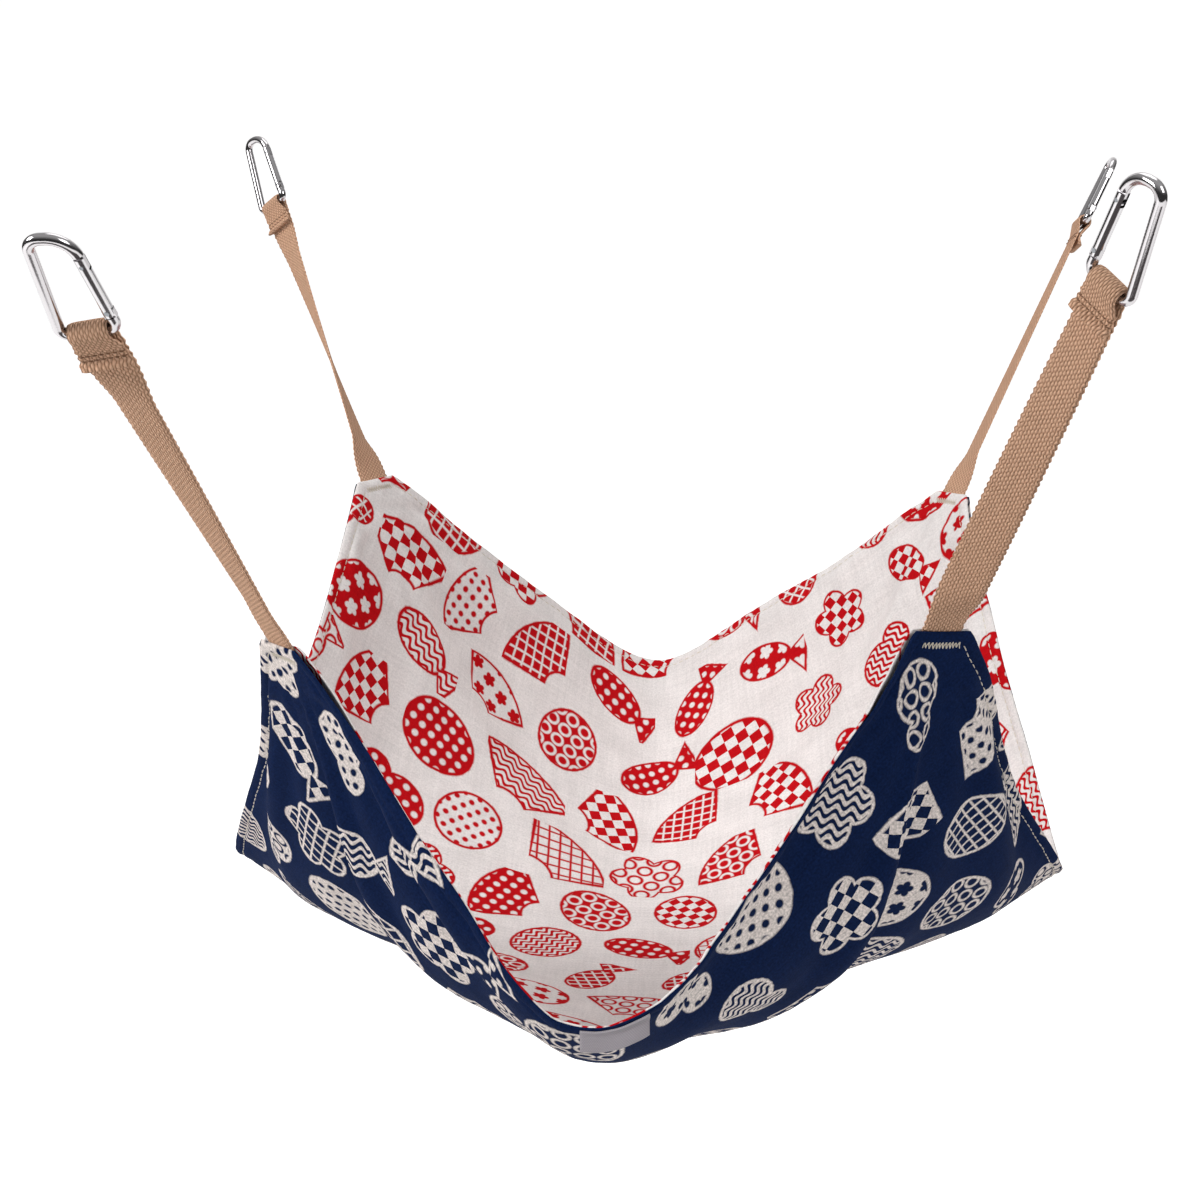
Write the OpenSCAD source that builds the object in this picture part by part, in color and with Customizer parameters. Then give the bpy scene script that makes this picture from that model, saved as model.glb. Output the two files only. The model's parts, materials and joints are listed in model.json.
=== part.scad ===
// Cat hammock: a two-layer cloth sling that hangs by its four corners on webbing straps,
// each ending in a sewn loop round the base of a sprung snap hook.
// Millimetres, +Z up, front towards -Y. The origin lies under the middle of the hung hammock,
// level with the lowest point of its base.
// Lists of four go front left, front right, back left, back right.

/* [Sling] */
// Width of the cloth from side to side, laid flat
sling_w = 450; // [380:10:520]
// Depth of the cloth from front to back, laid flat
sling_d = 530; // [440:10:600]
// Thickness of each of the two cloth layers
cloth_t = 0.8; // [0.5:0.1:1.2]
// Gap between the two layers
layer_gap = 0.3; // [0.2:0.1:0.5]
// Cloth left beside the strap at each end of a cut corner
corner_margin = 4; // [1:0.5:6]
// Half the width of the rounded fold between the base and a corner flap
fold_reach = 49; // [30:1:70]
// Half the width of the rounded dip in the middle of each edge
dip_reach = 16; // [10:1:30]
// Width of the label on the front edge
label_w = 30; // [20:1:34]
// Height of the label on the front edge
label_h = 10; // [6:1:16]
// Thickness of the label
label_t = 0.6; // [0.4:0.1:1]

/* [Hang] */
// Height of the middle of the front edge above the base
front_rise = 69; // [40:1:100]
// Height of the middle of the right edge above the base
right_rise = 46; // [30:1:100]
// Height of the middle of the back edge above the base
back_rise = 97; // [40:1:110]
// Height of the middle of the left edge above the base
left_rise = 54; // [30:1:100]
// Extra sag behind the middle of the front edge
belly = 10; // [0:1:16]
// How far each side edge draws in between its middle and its corners
hollow = 7; // [0:1:12]
// Steepness of each corner flap
flap_angle = [67, 74, 58, 54.5]; // [45:0.5:78]
// Twist of each corner about the middle line of its flap, where the strap turns it
corner_twist = [3, -26, 0, -12]; // [-35:1:35]
// Compass angle of each strap, from the side-to-side axis
strap_bearing = [72.5, 65.5, 43, 38.5]; // [30:0.5:80]
// Rise of each strap above the level
strap_rise = [50, 54, 60.5, 56.5]; // [40:0.5:72]
// Turn of each strap about its own length, close to the seam
strap_kink = [-9, -34, 21, -21]; // [-60:1:60]
// Even turn of each strap about its own length, from seam to loop
strap_turn = [46, -38, 78, -10]; // [-110:1:110]

/* [Straps] */
// Width of the webbing
strap_w = 20; // [16:0.5:26]
// Thickness of the webbing
strap_t = 1.8; // [1.2:0.1:2.5]
// Free length from the corner seam to the hook's base
strap_len = 180; // [120:5:260]
// Length of webbing sewn in between the cloth layers
strap_sewn = 14; // [8:1:18]
// Length of the tail folded back from the hook's base
tail_len = 15; // [12:1:30]
// Distance from the hook's base to where the two plies of the loop meet
loop_drop = 8.5; // [7:0.5:11]

/* [Snap hook] */
// Length of the hook, outside
hook_len = 48; // [45:1:60]
// Width of the hook at its base, outside
hook_w = 25; // [23.5:0.5:30]
// Diameter of the hook's rod
rod_d = 4.4; // [4:0.1:5]
// Bend radius at the base, to the middle of the rod
base_bend = 3.6; // [3.3:0.1:4.6]
// Bend radius at the top of the spine, to the middle of the rod
crown_bend = 5; // [4.4:0.1:7]
// Straight length of rod across the top
crown_run = 1.5; // [1:0.5:4]
// Bend radius of the arm that comes down to the gate
arm_bend = 9.5; // [8.5:0.5:12]
// Angle through which the arm comes down
arm_turn = 77; // [70:1:82]
// Lean of the spine over the base, towards the gate
spine_lean = 10; // [4:0.5:12]
// Height of the gate's rivet above the middle of the base
rivet_height = 8.5; // [8.4:0.1:11]
// Diameter of the gate's rod
gate_d = 4.6; // [4.4:0.1:5.2]
// Diameter of the rivet
rivet_d = 1.8; // [1.5:0.1:2]
// Diameter of the latch pin
latch_d = 1.5; // [1.2:0.1:1.6]
// Thickness of the flattened end that the gate turns on
tang_t = 2.2; // [1.6:0.1:2.6]
// Thickness of the tongue that the latch pin closes on
tongue_t = 2; // [1.6:0.1:2.4]
// Depth of the latch pin below the nose
latch_depth = 4; // [3.5:0.1:5]
// Wire of the gate spring
spring_wire = 0.4; // [0.3:0.05:0.5]
// Outer diameter of the gate spring
spring_d = 2.6; // [2.2:0.1:2.8]
// Length of the gate spring
spring_len = 8; // [6:0.5:12]

/* [Clearances] */
// Gap between soft pieces that move on each other
soft_gap = 0.3; // [0.2:0.05:0.5]
// More room over the webbing in its pocket, so that the cloth's flat facets clear it at a twisted corner
pocket_ease = 0.3; // [0.2:0.05:0.5]
// Gap on each side between the gate's slots and what they hold
slot_gap = 0.15; // [0.1:0.05:0.3]
// Running gap round the rivet in the tang
rivet_gap = 0.06; // [0.02:0.01:0.1]
// Gap round a pin that is pressed into the gate
press_gap = 0.02; // [0.01:0.01:0.05]
// Gap round the latch pin in the tongue's notch
latch_gap = 0.25; // [0.2:0.05:0.4]
// Gap between the gate's upper end and the nose
nose_gap = 0.9; // [0.8:0.1:1.2]

/* [Hidden] */
CORNERS = ["front_left", "front_right", "back_left", "back_right"];
PER_CORNER = ["strap_end", "strap", "hook", "gate", "rivet", "latch_pin", "spring"];
$fn = 48;

SIDE = [-1, 1, -1, 1];
END = [-1, -1, 1, 1];
// Side of its loop that each hook's gate is on, so that the gates face the middle
GATE_SIDE = [-1, 1, -1, 1];

// Cells of the cloth's grid along each side
CLOTH_CELLS = 24;
// Cells of a strap along its length
STRAP_CELLS = 24;
// Share of the half side over which one flap passes into the next
FLAP_MIX = 0.35;
// Distances from a corner's tip at which its twist is whole and gone, and share of a strap that its kink takes
TWIST_FULL = 20;
TWIST_END = 170;
KINK_SHARE = 0.16;
// Step for the cloth's slope, as a share of the half side
SLOPE_STEP = 0.01;

half = [sling_w / 2, sling_d / 2];
corner_cut = strap_w + 2 * corner_margin;
cut_leg = corner_cut / sqrt(2);
cut = [cut_leg / half.x, cut_leg / half.y];
dip = [dip_reach / half.x, dip_reach / half.y];
flap_height = half.x * half.y / norm(half);
fold = fold_reach / flap_height;
// The webbing's end lies in a pocket between the layers, which closes over the cloth around it
pocket_depth = strap_t / 2 + soft_gap + pocket_ease - layer_gap / 2;
pocket_full = corner_cut / 2 + strap_sewn + strap_w / 2;
pocket_fade = 36;
bead_r = strap_t / 2 + 0.1;
strap_foot = soft_gap + bead_r;

function unit(v) = v / norm(v);
function mix(a, b, t) = a * (1 - t) + b * t;
function ease(t) = let (s = min(max((t + 1) / 2, 0), 1)) s * s * (3 - 2 * s);
function soft_abs(t, e) = (sqrt(t * t + e * e) - e) / (sqrt(1 + e * e) - e);
function ramp(w) = w < -fold ? 0 : w < fold ? pow(w + fold, 2) / (4 * fold) : w;
function spin(v, axis, angle) =
    v * cos(angle) + cross(axis, v) * sin(angle) + axis * (axis * v) * (1 - cos(angle));
function place(x, y, z, at) =
    [[x.x, y.x, z.x, at.x], [x.y, y.y, z.y, at.y], [x.z, y.z, z.z, at.z], [0, 0, 0, 1]];
function moved(m, p) = [for (row = [0:2]) m[row] * [p.x, p.y, p.z, 1]];

// Shape of the hung cloth: u and v run from -1 to 1 across the flat sheet

// Half a side that has curved up by a rise reaches this far from the middle
function drawn(flat_half, rise) = flat_half - 2 / 3 * rise * rise / flat_half;
mid_front = [0, -drawn(half.y, front_rise), front_rise];
mid_right = [drawn(half.x, right_rise), 0, right_rise];
mid_back = [0, drawn(half.y, back_rise), back_rise];
mid_left = [-drawn(half.x, left_rise), 0, left_rise];
function side_mid(k) = SIDE[k] < 0 ? mid_left : mid_right;
function end_mid(k) = END[k] < 0 ? mid_front : mid_back;

// Middle line of a flap, from the fold at its foot up to its tip
function flap_up(k) =
    let (
        e = unit(end_mid(k) - side_mid(k)),
        level = unit([-e.y, e.x, 0]),
        out = level * (level * [SIDE[k], END[k], 0] > 0 ? 1 : -1),
        steep = cross(out, e),
        up = steep * (steep.z > 0 ? 1 : -1)
    )
    cos(flap_angle[k]) * out + sin(flap_angle[k]) * up;
// A flap's corner keeps its flat distance to the middles of both its edges
function flap_tip(k) =
    let (
        fold_line = end_mid(k) - side_mid(k),
        along = (half.y * half.y - half.x * half.x + fold_line * fold_line) / (2 * norm(fold_line)),
        reach = sqrt(half.y * half.y - along * along)
    )
    side_mid(k) + unit(fold_line) * along + reach * flap_up(k);
flap_axis = [for (k = [0:3]) flap_up(k)];
flap_corner = [for (k = [0:3]) flap_tip(k)];
flap_lift = [for (k = [0:3]) flap_corner[k] - side_mid(k) - end_mid(k)];

function hung(u, v) =
    let (
        p = soft_abs(u, dip.x),
        q = soft_abs(v, dip.y),
        lift = ramp(p + q - 1),
        to_right = ease(u / FLAP_MIX),
        to_back = ease(v / FLAP_MIX),
        bowl = p * mix(mid_left.z, mid_right.z, to_right) + q * mix(mid_front.z, mid_back.z, to_back),
        front_lift = mix(flap_lift[0], flap_lift[1], to_right),
        back_lift = mix(flap_lift[2], flap_lift[3], to_right),
        near = min(max((v + 1) / 0.8, 0), 1),
        sag = belly * pow(max(1 - pow(u / 0.6, 2), 0), 2) * 6.75 * near * pow(1 - near, 2),
        drawn_in = sign(u) * hollow * pow(u, 4) * 4 * lift * (1 - lift)
    )
    [
        mix(mid_left.x, mid_right.x, (1 + u) / 2) + (p - 1) * (mid_left.x + mid_right.x) / 2 - drawn_in,
        mix(mid_front.y, mid_back.y, (1 + v) / 2) + (q - 1) * (mid_front.y + mid_back.y) / 2,
        bowl * (p + q - lift) - sag
    ] + lift * mix(front_lift, back_lift, to_back);

function cloth(u, v) =
    let (
        k = (u < 0 ? 0 : 1) + (v < 0 ? 0 : 2),
        from_tip = norm([half.x * (1 - abs(u)), half.y * (1 - abs(v))]),
        fall = max(1 - from_tip / TWIST_END, 0) / (1 - TWIST_FULL / TWIST_END),
        share = min(fall * fall, 1)
    )
    flap_corner[k] + spin(hung(u, v) - flap_corner[k], flap_axis[k], corner_twist[k] * share);

function cloth_normal(u, v) =
    unit(cross(
        cloth(u + SLOPE_STEP, v) - cloth(u - SLOPE_STEP, v),
        cloth(u, v + SLOPE_STEP) - cloth(u, v - SLOPE_STEP)
    ));

// Half the gap between the layers, wider in the pockets of the strap ends
function parting(u, v) =
    let (
        from_corner = norm([half.x * (1 - abs(u)), half.y * (1 - abs(v))]),
        open = min(max((pocket_full + pocket_fade - from_corner) / pocket_fade, 0), 1)
    )
    layer_gap / 2 + pocket_depth * open;

// Grid lines: the outermost cell is as wide as the cut corner
function grid_line(i, c) =
    i == 0 ? -1 : i == CLOTH_CELLS ? 1 : mix(c - 1, 1 - c, (i - 1) / (CLOTH_CELLS - 2));
function outermost(i) = i == 0 || i == CLOTH_CELLS;
function grid_uv(i, j) =
    let (u = grid_line(i, cut.x), v = grid_line(j, cut.y))
    outermost(i) && outermost(j) ? [u * (1 - cut.x / 2), v * (1 - cut.y / 2)] : [u, v];
cloth_uv = [for (j = [0:CLOTH_CELLS]) [for (i = [0:CLOTH_CELLS]) grid_uv(i, j)]];

// Where a strap leaves its corner, and the frame of its loop

function cut_middle(k) = cloth(SIDE[k] * (1 - cut.x / 2), END[k] * (1 - cut.y / 2));
function seam(k) =
    unit(cloth(SIDE[k], END[k] * (1 - cut.y)) - cloth(SIDE[k] * (1 - cut.x), END[k])) * SIDE[k] * END[k];
function seam_out(k) =
    let (inward = cut_middle(k) - cloth(SIDE[k] * (1 - cut.x), END[k] * (1 - cut.y)), e = seam(k))
    unit(inward - e * (inward * e));
function strap_root(k) = cut_middle(k) + seam_out(k) * strap_foot;
function strap_way(k) =
    [
        SIDE[k] * cos(strap_rise[k]) * cos(strap_bearing[k]),
        END[k] * cos(strap_rise[k]) * sin(strap_bearing[k]),
        sin(strap_rise[k])
    ];
// Direction of the webbing's width, at a share t of the way up
function strap_across(k, t) =
    let (
        d = strap_way(k),
        e = seam(k),
        square = unit(e - d * (e * d)),
        turned = spin(square, d, strap_kink[k] * ease(2 * t / KINK_SHARE - 1) + strap_turn[k] * t)
    )
    unit(mix(e, turned, min(1, 6 * t)));
function loop_frame(k) =
    let (d = strap_way(k), x = strap_across(k, 1))
    place(x, cross(d, x), d, strap_root(k) + d * strap_len);

// Snap hook, in the frame of its loop: base along X, spine up Z, gate towards +X

hook_x = (hook_w - rod_d) / 2;
hook_top = hook_len - rod_d;
base_run = hook_w - rod_d - 2 * base_bend;
crown_mid = [crown_bend - hook_x, hook_top - crown_bend];
arm_mid = [crown_mid.x + crown_run, hook_top - arm_bend];
// The spine, crown and arm lean over the base, about the middle of the bend at the spine's foot
spine_foot = [base_bend - hook_x, base_bend];
function leaned(p) =
    let (from = p - spine_foot)
    spine_foot + [
        from.x * cos(spine_lean) + from.y * sin(spine_lean),
        from.y * cos(spine_lean) - from.x * sin(spine_lean)
    ];
nose = leaned(arm_mid + arm_bend * [sin(arm_turn), cos(arm_turn)]);
gate_line = nose - [hook_x, rivet_height];
gate_len = norm(gate_line);
gate_tilt = atan(-gate_line.x / gate_line.y);
tang_drop = gate_d / 2 + 0.5;
eye_room = rod_d / 2 + 0.35;
barb_t = 0.7;
tongue_len = latch_depth + latch_d / 2 + latch_gap + barb_t;
tongue_back = 0.6 - rod_d / 2;
tongue_front = rod_d / 2 - 0.3;
spring_bore = spring_d + 0.4;
spring_foot = eye_room + 0.5;
SPRING_TURNS = 5;
SPRING_RINGS = 8;

// Webbing loop, seen along the base: a round eye with both plies closing below it
eye_r = rod_d / 2 + soft_gap;
loop_r = eye_r + strap_t;
loop_spill = 0.5;
loop_w = base_run + loop_spill;
flare_top = 2.8;

// Corner where the line from a point touches a circle about the origin, on its +X side
function tangent(p, r) =
    let (angle = atan2(p.y, p.x) + acos(r / norm(p)))
    r * [cos(angle), sin(angle)];

// The part's box in plan is the box of its hooks; its foot is the underside of the base
hook_outline = concat(
    [[hook_x, rivet_height]],
    [for (a = [0:-5:-90]) [hook_x - base_bend, base_bend] + base_bend * [cos(a), sin(a)]],
    [for (a = [270:-5:180 - spine_lean]) spine_foot + base_bend * [cos(a), sin(a)]],
    [for (a = [180:-5:90]) leaned(crown_mid + crown_bend * [cos(a), sin(a)])],
    [for (a = [90:-5:90 - arm_turn]) leaned(arm_mid + arm_bend * [cos(a), sin(a)])]
);
hook_points = [
    for (k = [0:3]) for (p = hook_outline) moved(loop_frame(k), [GATE_SIDE[k] * p.x, 0, p.y])
];
function middle(axis) =
    let (values = [for (p = hook_points) p[axis]])
    (min(values) + max(values)) / 2;
origin = [middle(0), middle(1), -layer_gap / 2 - cloth_t];

// Closed solid between two grids of points, both lists of rows
module shell(lower, upper) {
    rows = len(lower);
    cols = len(lower[0]);
    count = rows * cols;
    at = function (j, i) j * cols + i;
    rim = concat(
        [for (i = [0:cols - 2]) [0, i]],
        [for (j = [0:rows - 2]) [j, cols - 1]],
        [for (i = [cols - 1:-1:1]) [rows - 1, i]],
        [for (j = [rows - 1:-1:1]) [j, 0]]
    );
    polyhedron(
        points = [for (grid = [lower, upper]) for (row = grid) for (p = row) p],
        faces = concat(
            [for (j = [0:rows - 2]) for (i = [0:cols - 2]) [at(j, i), at(j, i + 1), at(j + 1, i + 1)]],
            [for (j = [0:rows - 2]) for (i = [0:cols - 2]) [at(j, i), at(j + 1, i + 1), at(j + 1, i)]],
            [for (j = [0:rows - 2]) for (i = [0:cols - 2])
                [count + at(j, i), count + at(j + 1, i + 1), count + at(j, i + 1)]],
            [for (j = [0:rows - 2]) for (i = [0:cols - 2])
                [count + at(j, i), count + at(j + 1, i), count + at(j + 1, i + 1)]],
            [for (n = [0:len(rim) - 1])
                let (a = at(rim[n][0], rim[n][1]), m = rim[(n + 1) % len(rim)], b = at(m[0], m[1]))
                [a, count + a, count + b]],
            [for (n = [0:len(rim) - 1])
                let (a = at(rim[n][0], rim[n][1]), m = rim[(n + 1) % len(rim)], b = at(m[0], m[1]))
                [a, count + b, b]]
        )
    );
}

// Closed tube through rings of points, each a list of the same length
module tube(rings) {
    sides = len(rings[0]);
    last = (len(rings) - 1) * sides;
    polyhedron(
        points = [for (ring = rings) for (p = ring) p],
        faces = concat(
            [for (i = [1:sides - 2]) [0, i, i + 1]],
            [for (i = [1:sides - 2]) [last, last + i + 1, last + i]],
            [for (r = [0:len(rings) - 2]) for (i = [0:sides - 1])
                let (a = r * sides, b = (i + 1) % sides)
                [a + i, a + sides + i, a + sides + b]],
            [for (r = [0:len(rings) - 2]) for (i = [0:sides - 1])
                let (a = r * sides, b = (i + 1) % sides)
                [a + i, a + sides + b, a + b]]
        )
    );
}

// Grid of points on the cloth, set off along its normal: away is a function of u and v
function cloth_grid(uv, away) =
    [for (row = uv) [for (p = row) cloth(p.x, p.y) + away(p.x, p.y) * cloth_normal(p.x, p.y) - origin]];

module outer_panel() {
    inside = function (u, v) -parting(u, v);
    outside = function (u, v) -parting(u, v) - cloth_t;
    color("#1b2f55") shell(cloth_grid(cloth_uv, outside), cloth_grid(cloth_uv, inside));
}

module lining_panel() {
    inside = function (u, v) parting(u, v) + cloth_t;
    outside = function (u, v) parting(u, v);
    color("#ded7d3") shell(cloth_grid(cloth_uv, outside), cloth_grid(cloth_uv, inside));
}

// Folded label on the outside of the front edge, on the two cells beside its middle
module label() {
    mid = CLOTH_CELLS / 2;
    // Point of the panel's own facets at x across and y up from the middle of the edge, in cells
    facet = function (x, y, away)
        let (
            side = x < 0 ? -1 : 1,
            p = [for (c = [[0, 0], [side, 0], [0, 1], [side, 1]]) cloth_uv[c.y][mid + c.x]],
            q = [for (c = p) cloth(c.x, c.y) + away * cloth_normal(c.x, c.y) - origin]
        )
        mix(mix(q[0], q[1], abs(x)), mix(q[2], q[3], abs(x)), y);
    cell = [half.x * (grid_line(mid + 1, cut.x) - grid_line(mid, cut.x)), cut_leg];
    seat = -layer_gap / 2 - cloth_t - soft_gap;
    grid = function (away)
        [for (y = [0, label_h / 2, label_h]) [for (x = [-1, -0.5, 0, 0.5, 1])
            facet(x * label_w / 2 / cell.x, y / cell.y, away)]];
    color("#8d8f92") shell(grid(seat - label_t), grid(seat));
}

// Webbing held between the layers of a corner
module strap_end(k) {
    out = [SIDE[k], END[k]] / sqrt(2);
    along = [-out.y, out.x];
    corner = [SIDE[k] * (half.x - cut_leg / 2), END[k] * (half.y - cut_leg / 2)];
    uv = [for (down = [strap_sewn, strap_sewn / 2, 0]) [for (x = [-2:2])
        let (flat = corner - out * down + along * x * strap_w / 4)
        [flat.x / half.x, flat.y / half.y]]];
    below = function (u, v) -strap_t / 2;
    above = function (u, v) strap_t / 2;
    color("#b08d6c") shell(cloth_grid(uv, below), cloth_grid(uv, above));
}

module strap(k) {
    way = strap_way(k);
    top = strap_across(k, 1);
    start = strap_root(k);
    finish = start + way * (strap_len - tail_len) - cross(way, top) * strap_t / 2;
    rings = [for (n = [0:STRAP_CELLS])
        let (
            t = n / STRAP_CELLS,
            x = strap_across(k, t) * strap_w / 2,
            y = unit(cross(way, x)) * strap_t / 2,
            at = mix(start, finish, t) - origin
        )
        [at + x - y, at + x + y, at - x + y, at - x - y]];
    // The tube's tip runs on inside the loop's ply, so that the two are one piece
    tip_x = top * strap_w * 0.48;
    tip_y = cross(way, top) * strap_t * 0.4;
    tip_at = finish + way - origin;
    tip = [tip_at + tip_x - tip_y, tip_at + tip_x + tip_y, tip_at - tip_x + tip_y, tip_at - tip_x - tip_y];
    color("#b5916f") {
        tube(concat(rings, [tip]));
        multmatrix(place(cross(seam(k), seam_out(k)), seam_out(k), seam(k), start - origin))
            cylinder(h = strap_w, r = bead_r, center = true);
        translate(-origin) multmatrix(loop_frame(k)) webbing_loop();
    }
}

// Eye round the hook's base, bunched to the width of the base, with its tail sewn down
module webbing_loop() {
    plies = [strap_t, -loop_drop];
    outer = tangent(plies, loop_r);
    inner = tangent([0, -loop_drop], eye_r);
    intersection() {
        rotate([90, 0, 90]) linear_extrude(strap_w + 2, center = true) difference() {
            union() {
                circle(loop_r);
                polygon([
                    outer, plies, [strap_t, -tail_len], [-strap_t, -tail_len],
                    [-plies.x, plies.y], [-outer.x, outer.y]
                ]);
            }
            circle(eye_r);
            polygon([inner, [0, -loop_drop], [-inner.x, inner.y]]);
        }
        rotate([90, 0, 0]) linear_extrude(2 * loop_r + 2, center = true) polygon([
            [-loop_w / 2, loop_r + 1], [-loop_w / 2, -flare_top], [-strap_w / 2, -loop_drop],
            [-strap_w / 2, -tail_len], [strap_w / 2, -tail_len], [strap_w / 2, -loop_drop],
            [loop_w / 2, -flare_top], [loop_w / 2, loop_r + 1]
        ]);
    }
}

module at_hook(k) {
    translate(-origin) multmatrix(loop_frame(k)) rotate([0, 0, GATE_SIDE[k] > 0 ? 0 : 180]) children();
}

module at_gate(k) {
    at_hook(k) translate([hook_x, 0, rivet_height]) rotate([0, -gate_tilt, 0]) children();
}

// Bent rod in the hook's plane, about a middle given as [x, z]
module rod_bend(mid, radius, from, sweep) {
    translate([mid.x, 0, mid.y]) rotate([0, -from, 0]) rotate([90, 0, 0])
        rotate_extrude(angle = sweep) translate([radius, 0]) circle(d = rod_d);
}

module lean() {
    translate([spine_foot.x, 0, spine_foot.y]) rotate([0, spine_lean, 0])
        translate([-spine_foot.x, 0, -spine_foot.y]) children();
}

module cross_pin(d, h, z = 0) {
    translate([0, 0, z]) rotate([90, 0, 0]) cylinder(h = h, d = d, center = true);
}

module hook(k) {
    color("#c6c9cd") difference() {
        union() {
            rod_bend([hook_x - base_bend, base_bend], base_bend, -90, 90);
            rod_bend(spine_foot, base_bend, 180 - spine_lean, 90 + spine_lean);
            rotate([0, 90, 0]) cylinder(h = base_run, d = rod_d, center = true);
            lean() {
                translate([-hook_x, 0, base_bend]) cylinder(h = crown_mid.y - base_bend, d = rod_d);
                rod_bend(crown_mid, crown_bend, 90, 90);
                translate([crown_mid.x, 0, hook_top]) rotate([0, 90, 0]) cylinder(h = crown_run, d = rod_d);
                mirror([1, 0, 0]) rod_bend([-arm_mid.x, arm_mid.y], arm_bend, 90, arm_turn);
            }
            translate([hook_x, 0, base_bend])
                cylinder(h = rivet_height - tang_drop - base_bend, d = rod_d);
            hook_tang();
            hook_tongue();
        }
        translate([hook_x, 0, rivet_height]) cross_pin(rivet_d + 2 * rivet_gap, rod_d);
    }
}

// Flattened upper end of the base, with an eye for the rivet
module hook_tang() {
    translate([hook_x, 0, rivet_height]) rotate([90, 0, 0]) linear_extrude(tang_t, center = true) {
        circle(d = rod_d);
        translate([-rod_d / 2, -tang_drop - 0.4]) square([rod_d, tang_drop + 0.4]);
    }
}

// Flat tongue under the nose, notched so that the latch pin can't be pulled down past its barb
module hook_tongue() {
    notch = latch_d / 2 + latch_gap;
    translate([hook_x, 0, rivet_height]) rotate([0, -gate_tilt, 0])
        rotate([90, 0, 0]) linear_extrude(tongue_t, center = true) difference() {
            translate([tongue_back, gate_len - tongue_len])
                square([tongue_front - tongue_back, tongue_len + 1]);
            translate([0, gate_len - latch_depth]) {
                circle(notch);
                translate([tongue_back - 1, -notch]) square([1 - tongue_back, 2 * notch]);
            }
        }
}

// Rod with a fork at its foot for the tang, a slot at its head for the tongue, and a spring bore
module gate(k) {
    head = gate_len - nose_gap;
    tang_slot = tang_t + 2 * slot_gap;
    color("#d3d6da") difference() {
        union() {
            cylinder(h = head, d = gate_d);
            intersection() {
                translate([0, 0, -gate_d / 2]) cylinder(h = gate_d / 2, d = gate_d);
                cross_pin(gate_d, gate_d);
            }
        }
        translate([-gate_d, -tang_slot / 2, -gate_d]) cube([2 * gate_d, tang_slot, gate_d]);
        cross_pin(2 * eye_room, tang_slot);
        cylinder(h = spring_foot + spring_len + 0.5, d = spring_bore);
        translate([-gate_d, -tongue_t / 2 - slot_gap, gate_len - tongue_len - 0.5])
            cube([2 * gate_d, tongue_t + 2 * slot_gap, tongue_len + 1]);
        cross_pin(rivet_d + 2 * press_gap, 2 * gate_d);
        cross_pin(latch_d + 2 * press_gap, 2 * gate_d, gate_len - latch_depth);
    }
}

module rivet() {
    color("#9ea2a7") cross_pin(rivet_d, gate_d + 0.3);
}

module latch_pin() {
    color("#9ea2a7") cross_pin(latch_d, gate_d - 0.1, gate_len - latch_depth);
}

// Coil that presses on the tang's eye and swings the gate shut
module spring() {
    r = (spring_d - spring_wire) / 2;
    pitch = (spring_len - spring_wire) / SPRING_TURNS;
    slope = atan(pitch / (2 * PI * r));
    rings = [for (n = [0:SPRING_TURNS * SPRING_RINGS])
        let (
            turn = n * 360 / SPRING_RINGS,
            out = [cos(turn), sin(turn), 0],
            up = [sin(turn) * sin(slope), -cos(turn) * sin(slope), cos(slope)],
            at = out * r + [0, 0, spring_foot + spring_wire / 2 + pitch * n / SPRING_RINGS]
        )
        [for (s = [0:5]) at + (out * cos(60 * s) + up * sin(60 * s)) * spring_wire / 2]];
    echo(least_gap_of_spring = pitch * cos(slope) - spring_wire);
    color("#8a8e93") tube(rings);
}

module at_corner(piece, k) {
    children();
}

outer_panel();
lining_panel();
label();
for (k = [0:3]) {
    at_corner("strap_end", k) strap_end(k);
    at_corner("strap", k) strap(k);
    at_corner("hook", k) at_hook(k) hook(k);
    at_corner("gate", k) at_gate(k) gate(k);
    at_corner("rivet", k) at_gate(k) rivet();
    at_corner("latch_pin", k) at_gate(k) latch_pin();
    at_corner("spring", k) at_gate(k) spring();
}
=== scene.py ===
"""Cat hammock: cloth, webbing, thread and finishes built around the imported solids.

The sling is a lined cotton sheet that hangs by its cut corners. Its two layers, the webbing straps,
the label and the sewing thread are made here; the snap hooks keep their solids and get their finish.
Lengths are in millimetres unless a name says otherwise, and go to metres when a mesh is made.
"""

from __future__ import annotations

import json
import logging
import math
from dataclasses import dataclass
from enum import Enum
from typing import Any, Sequence

import bpy
import numpy as np
from mathutils import Matrix, Vector

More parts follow.
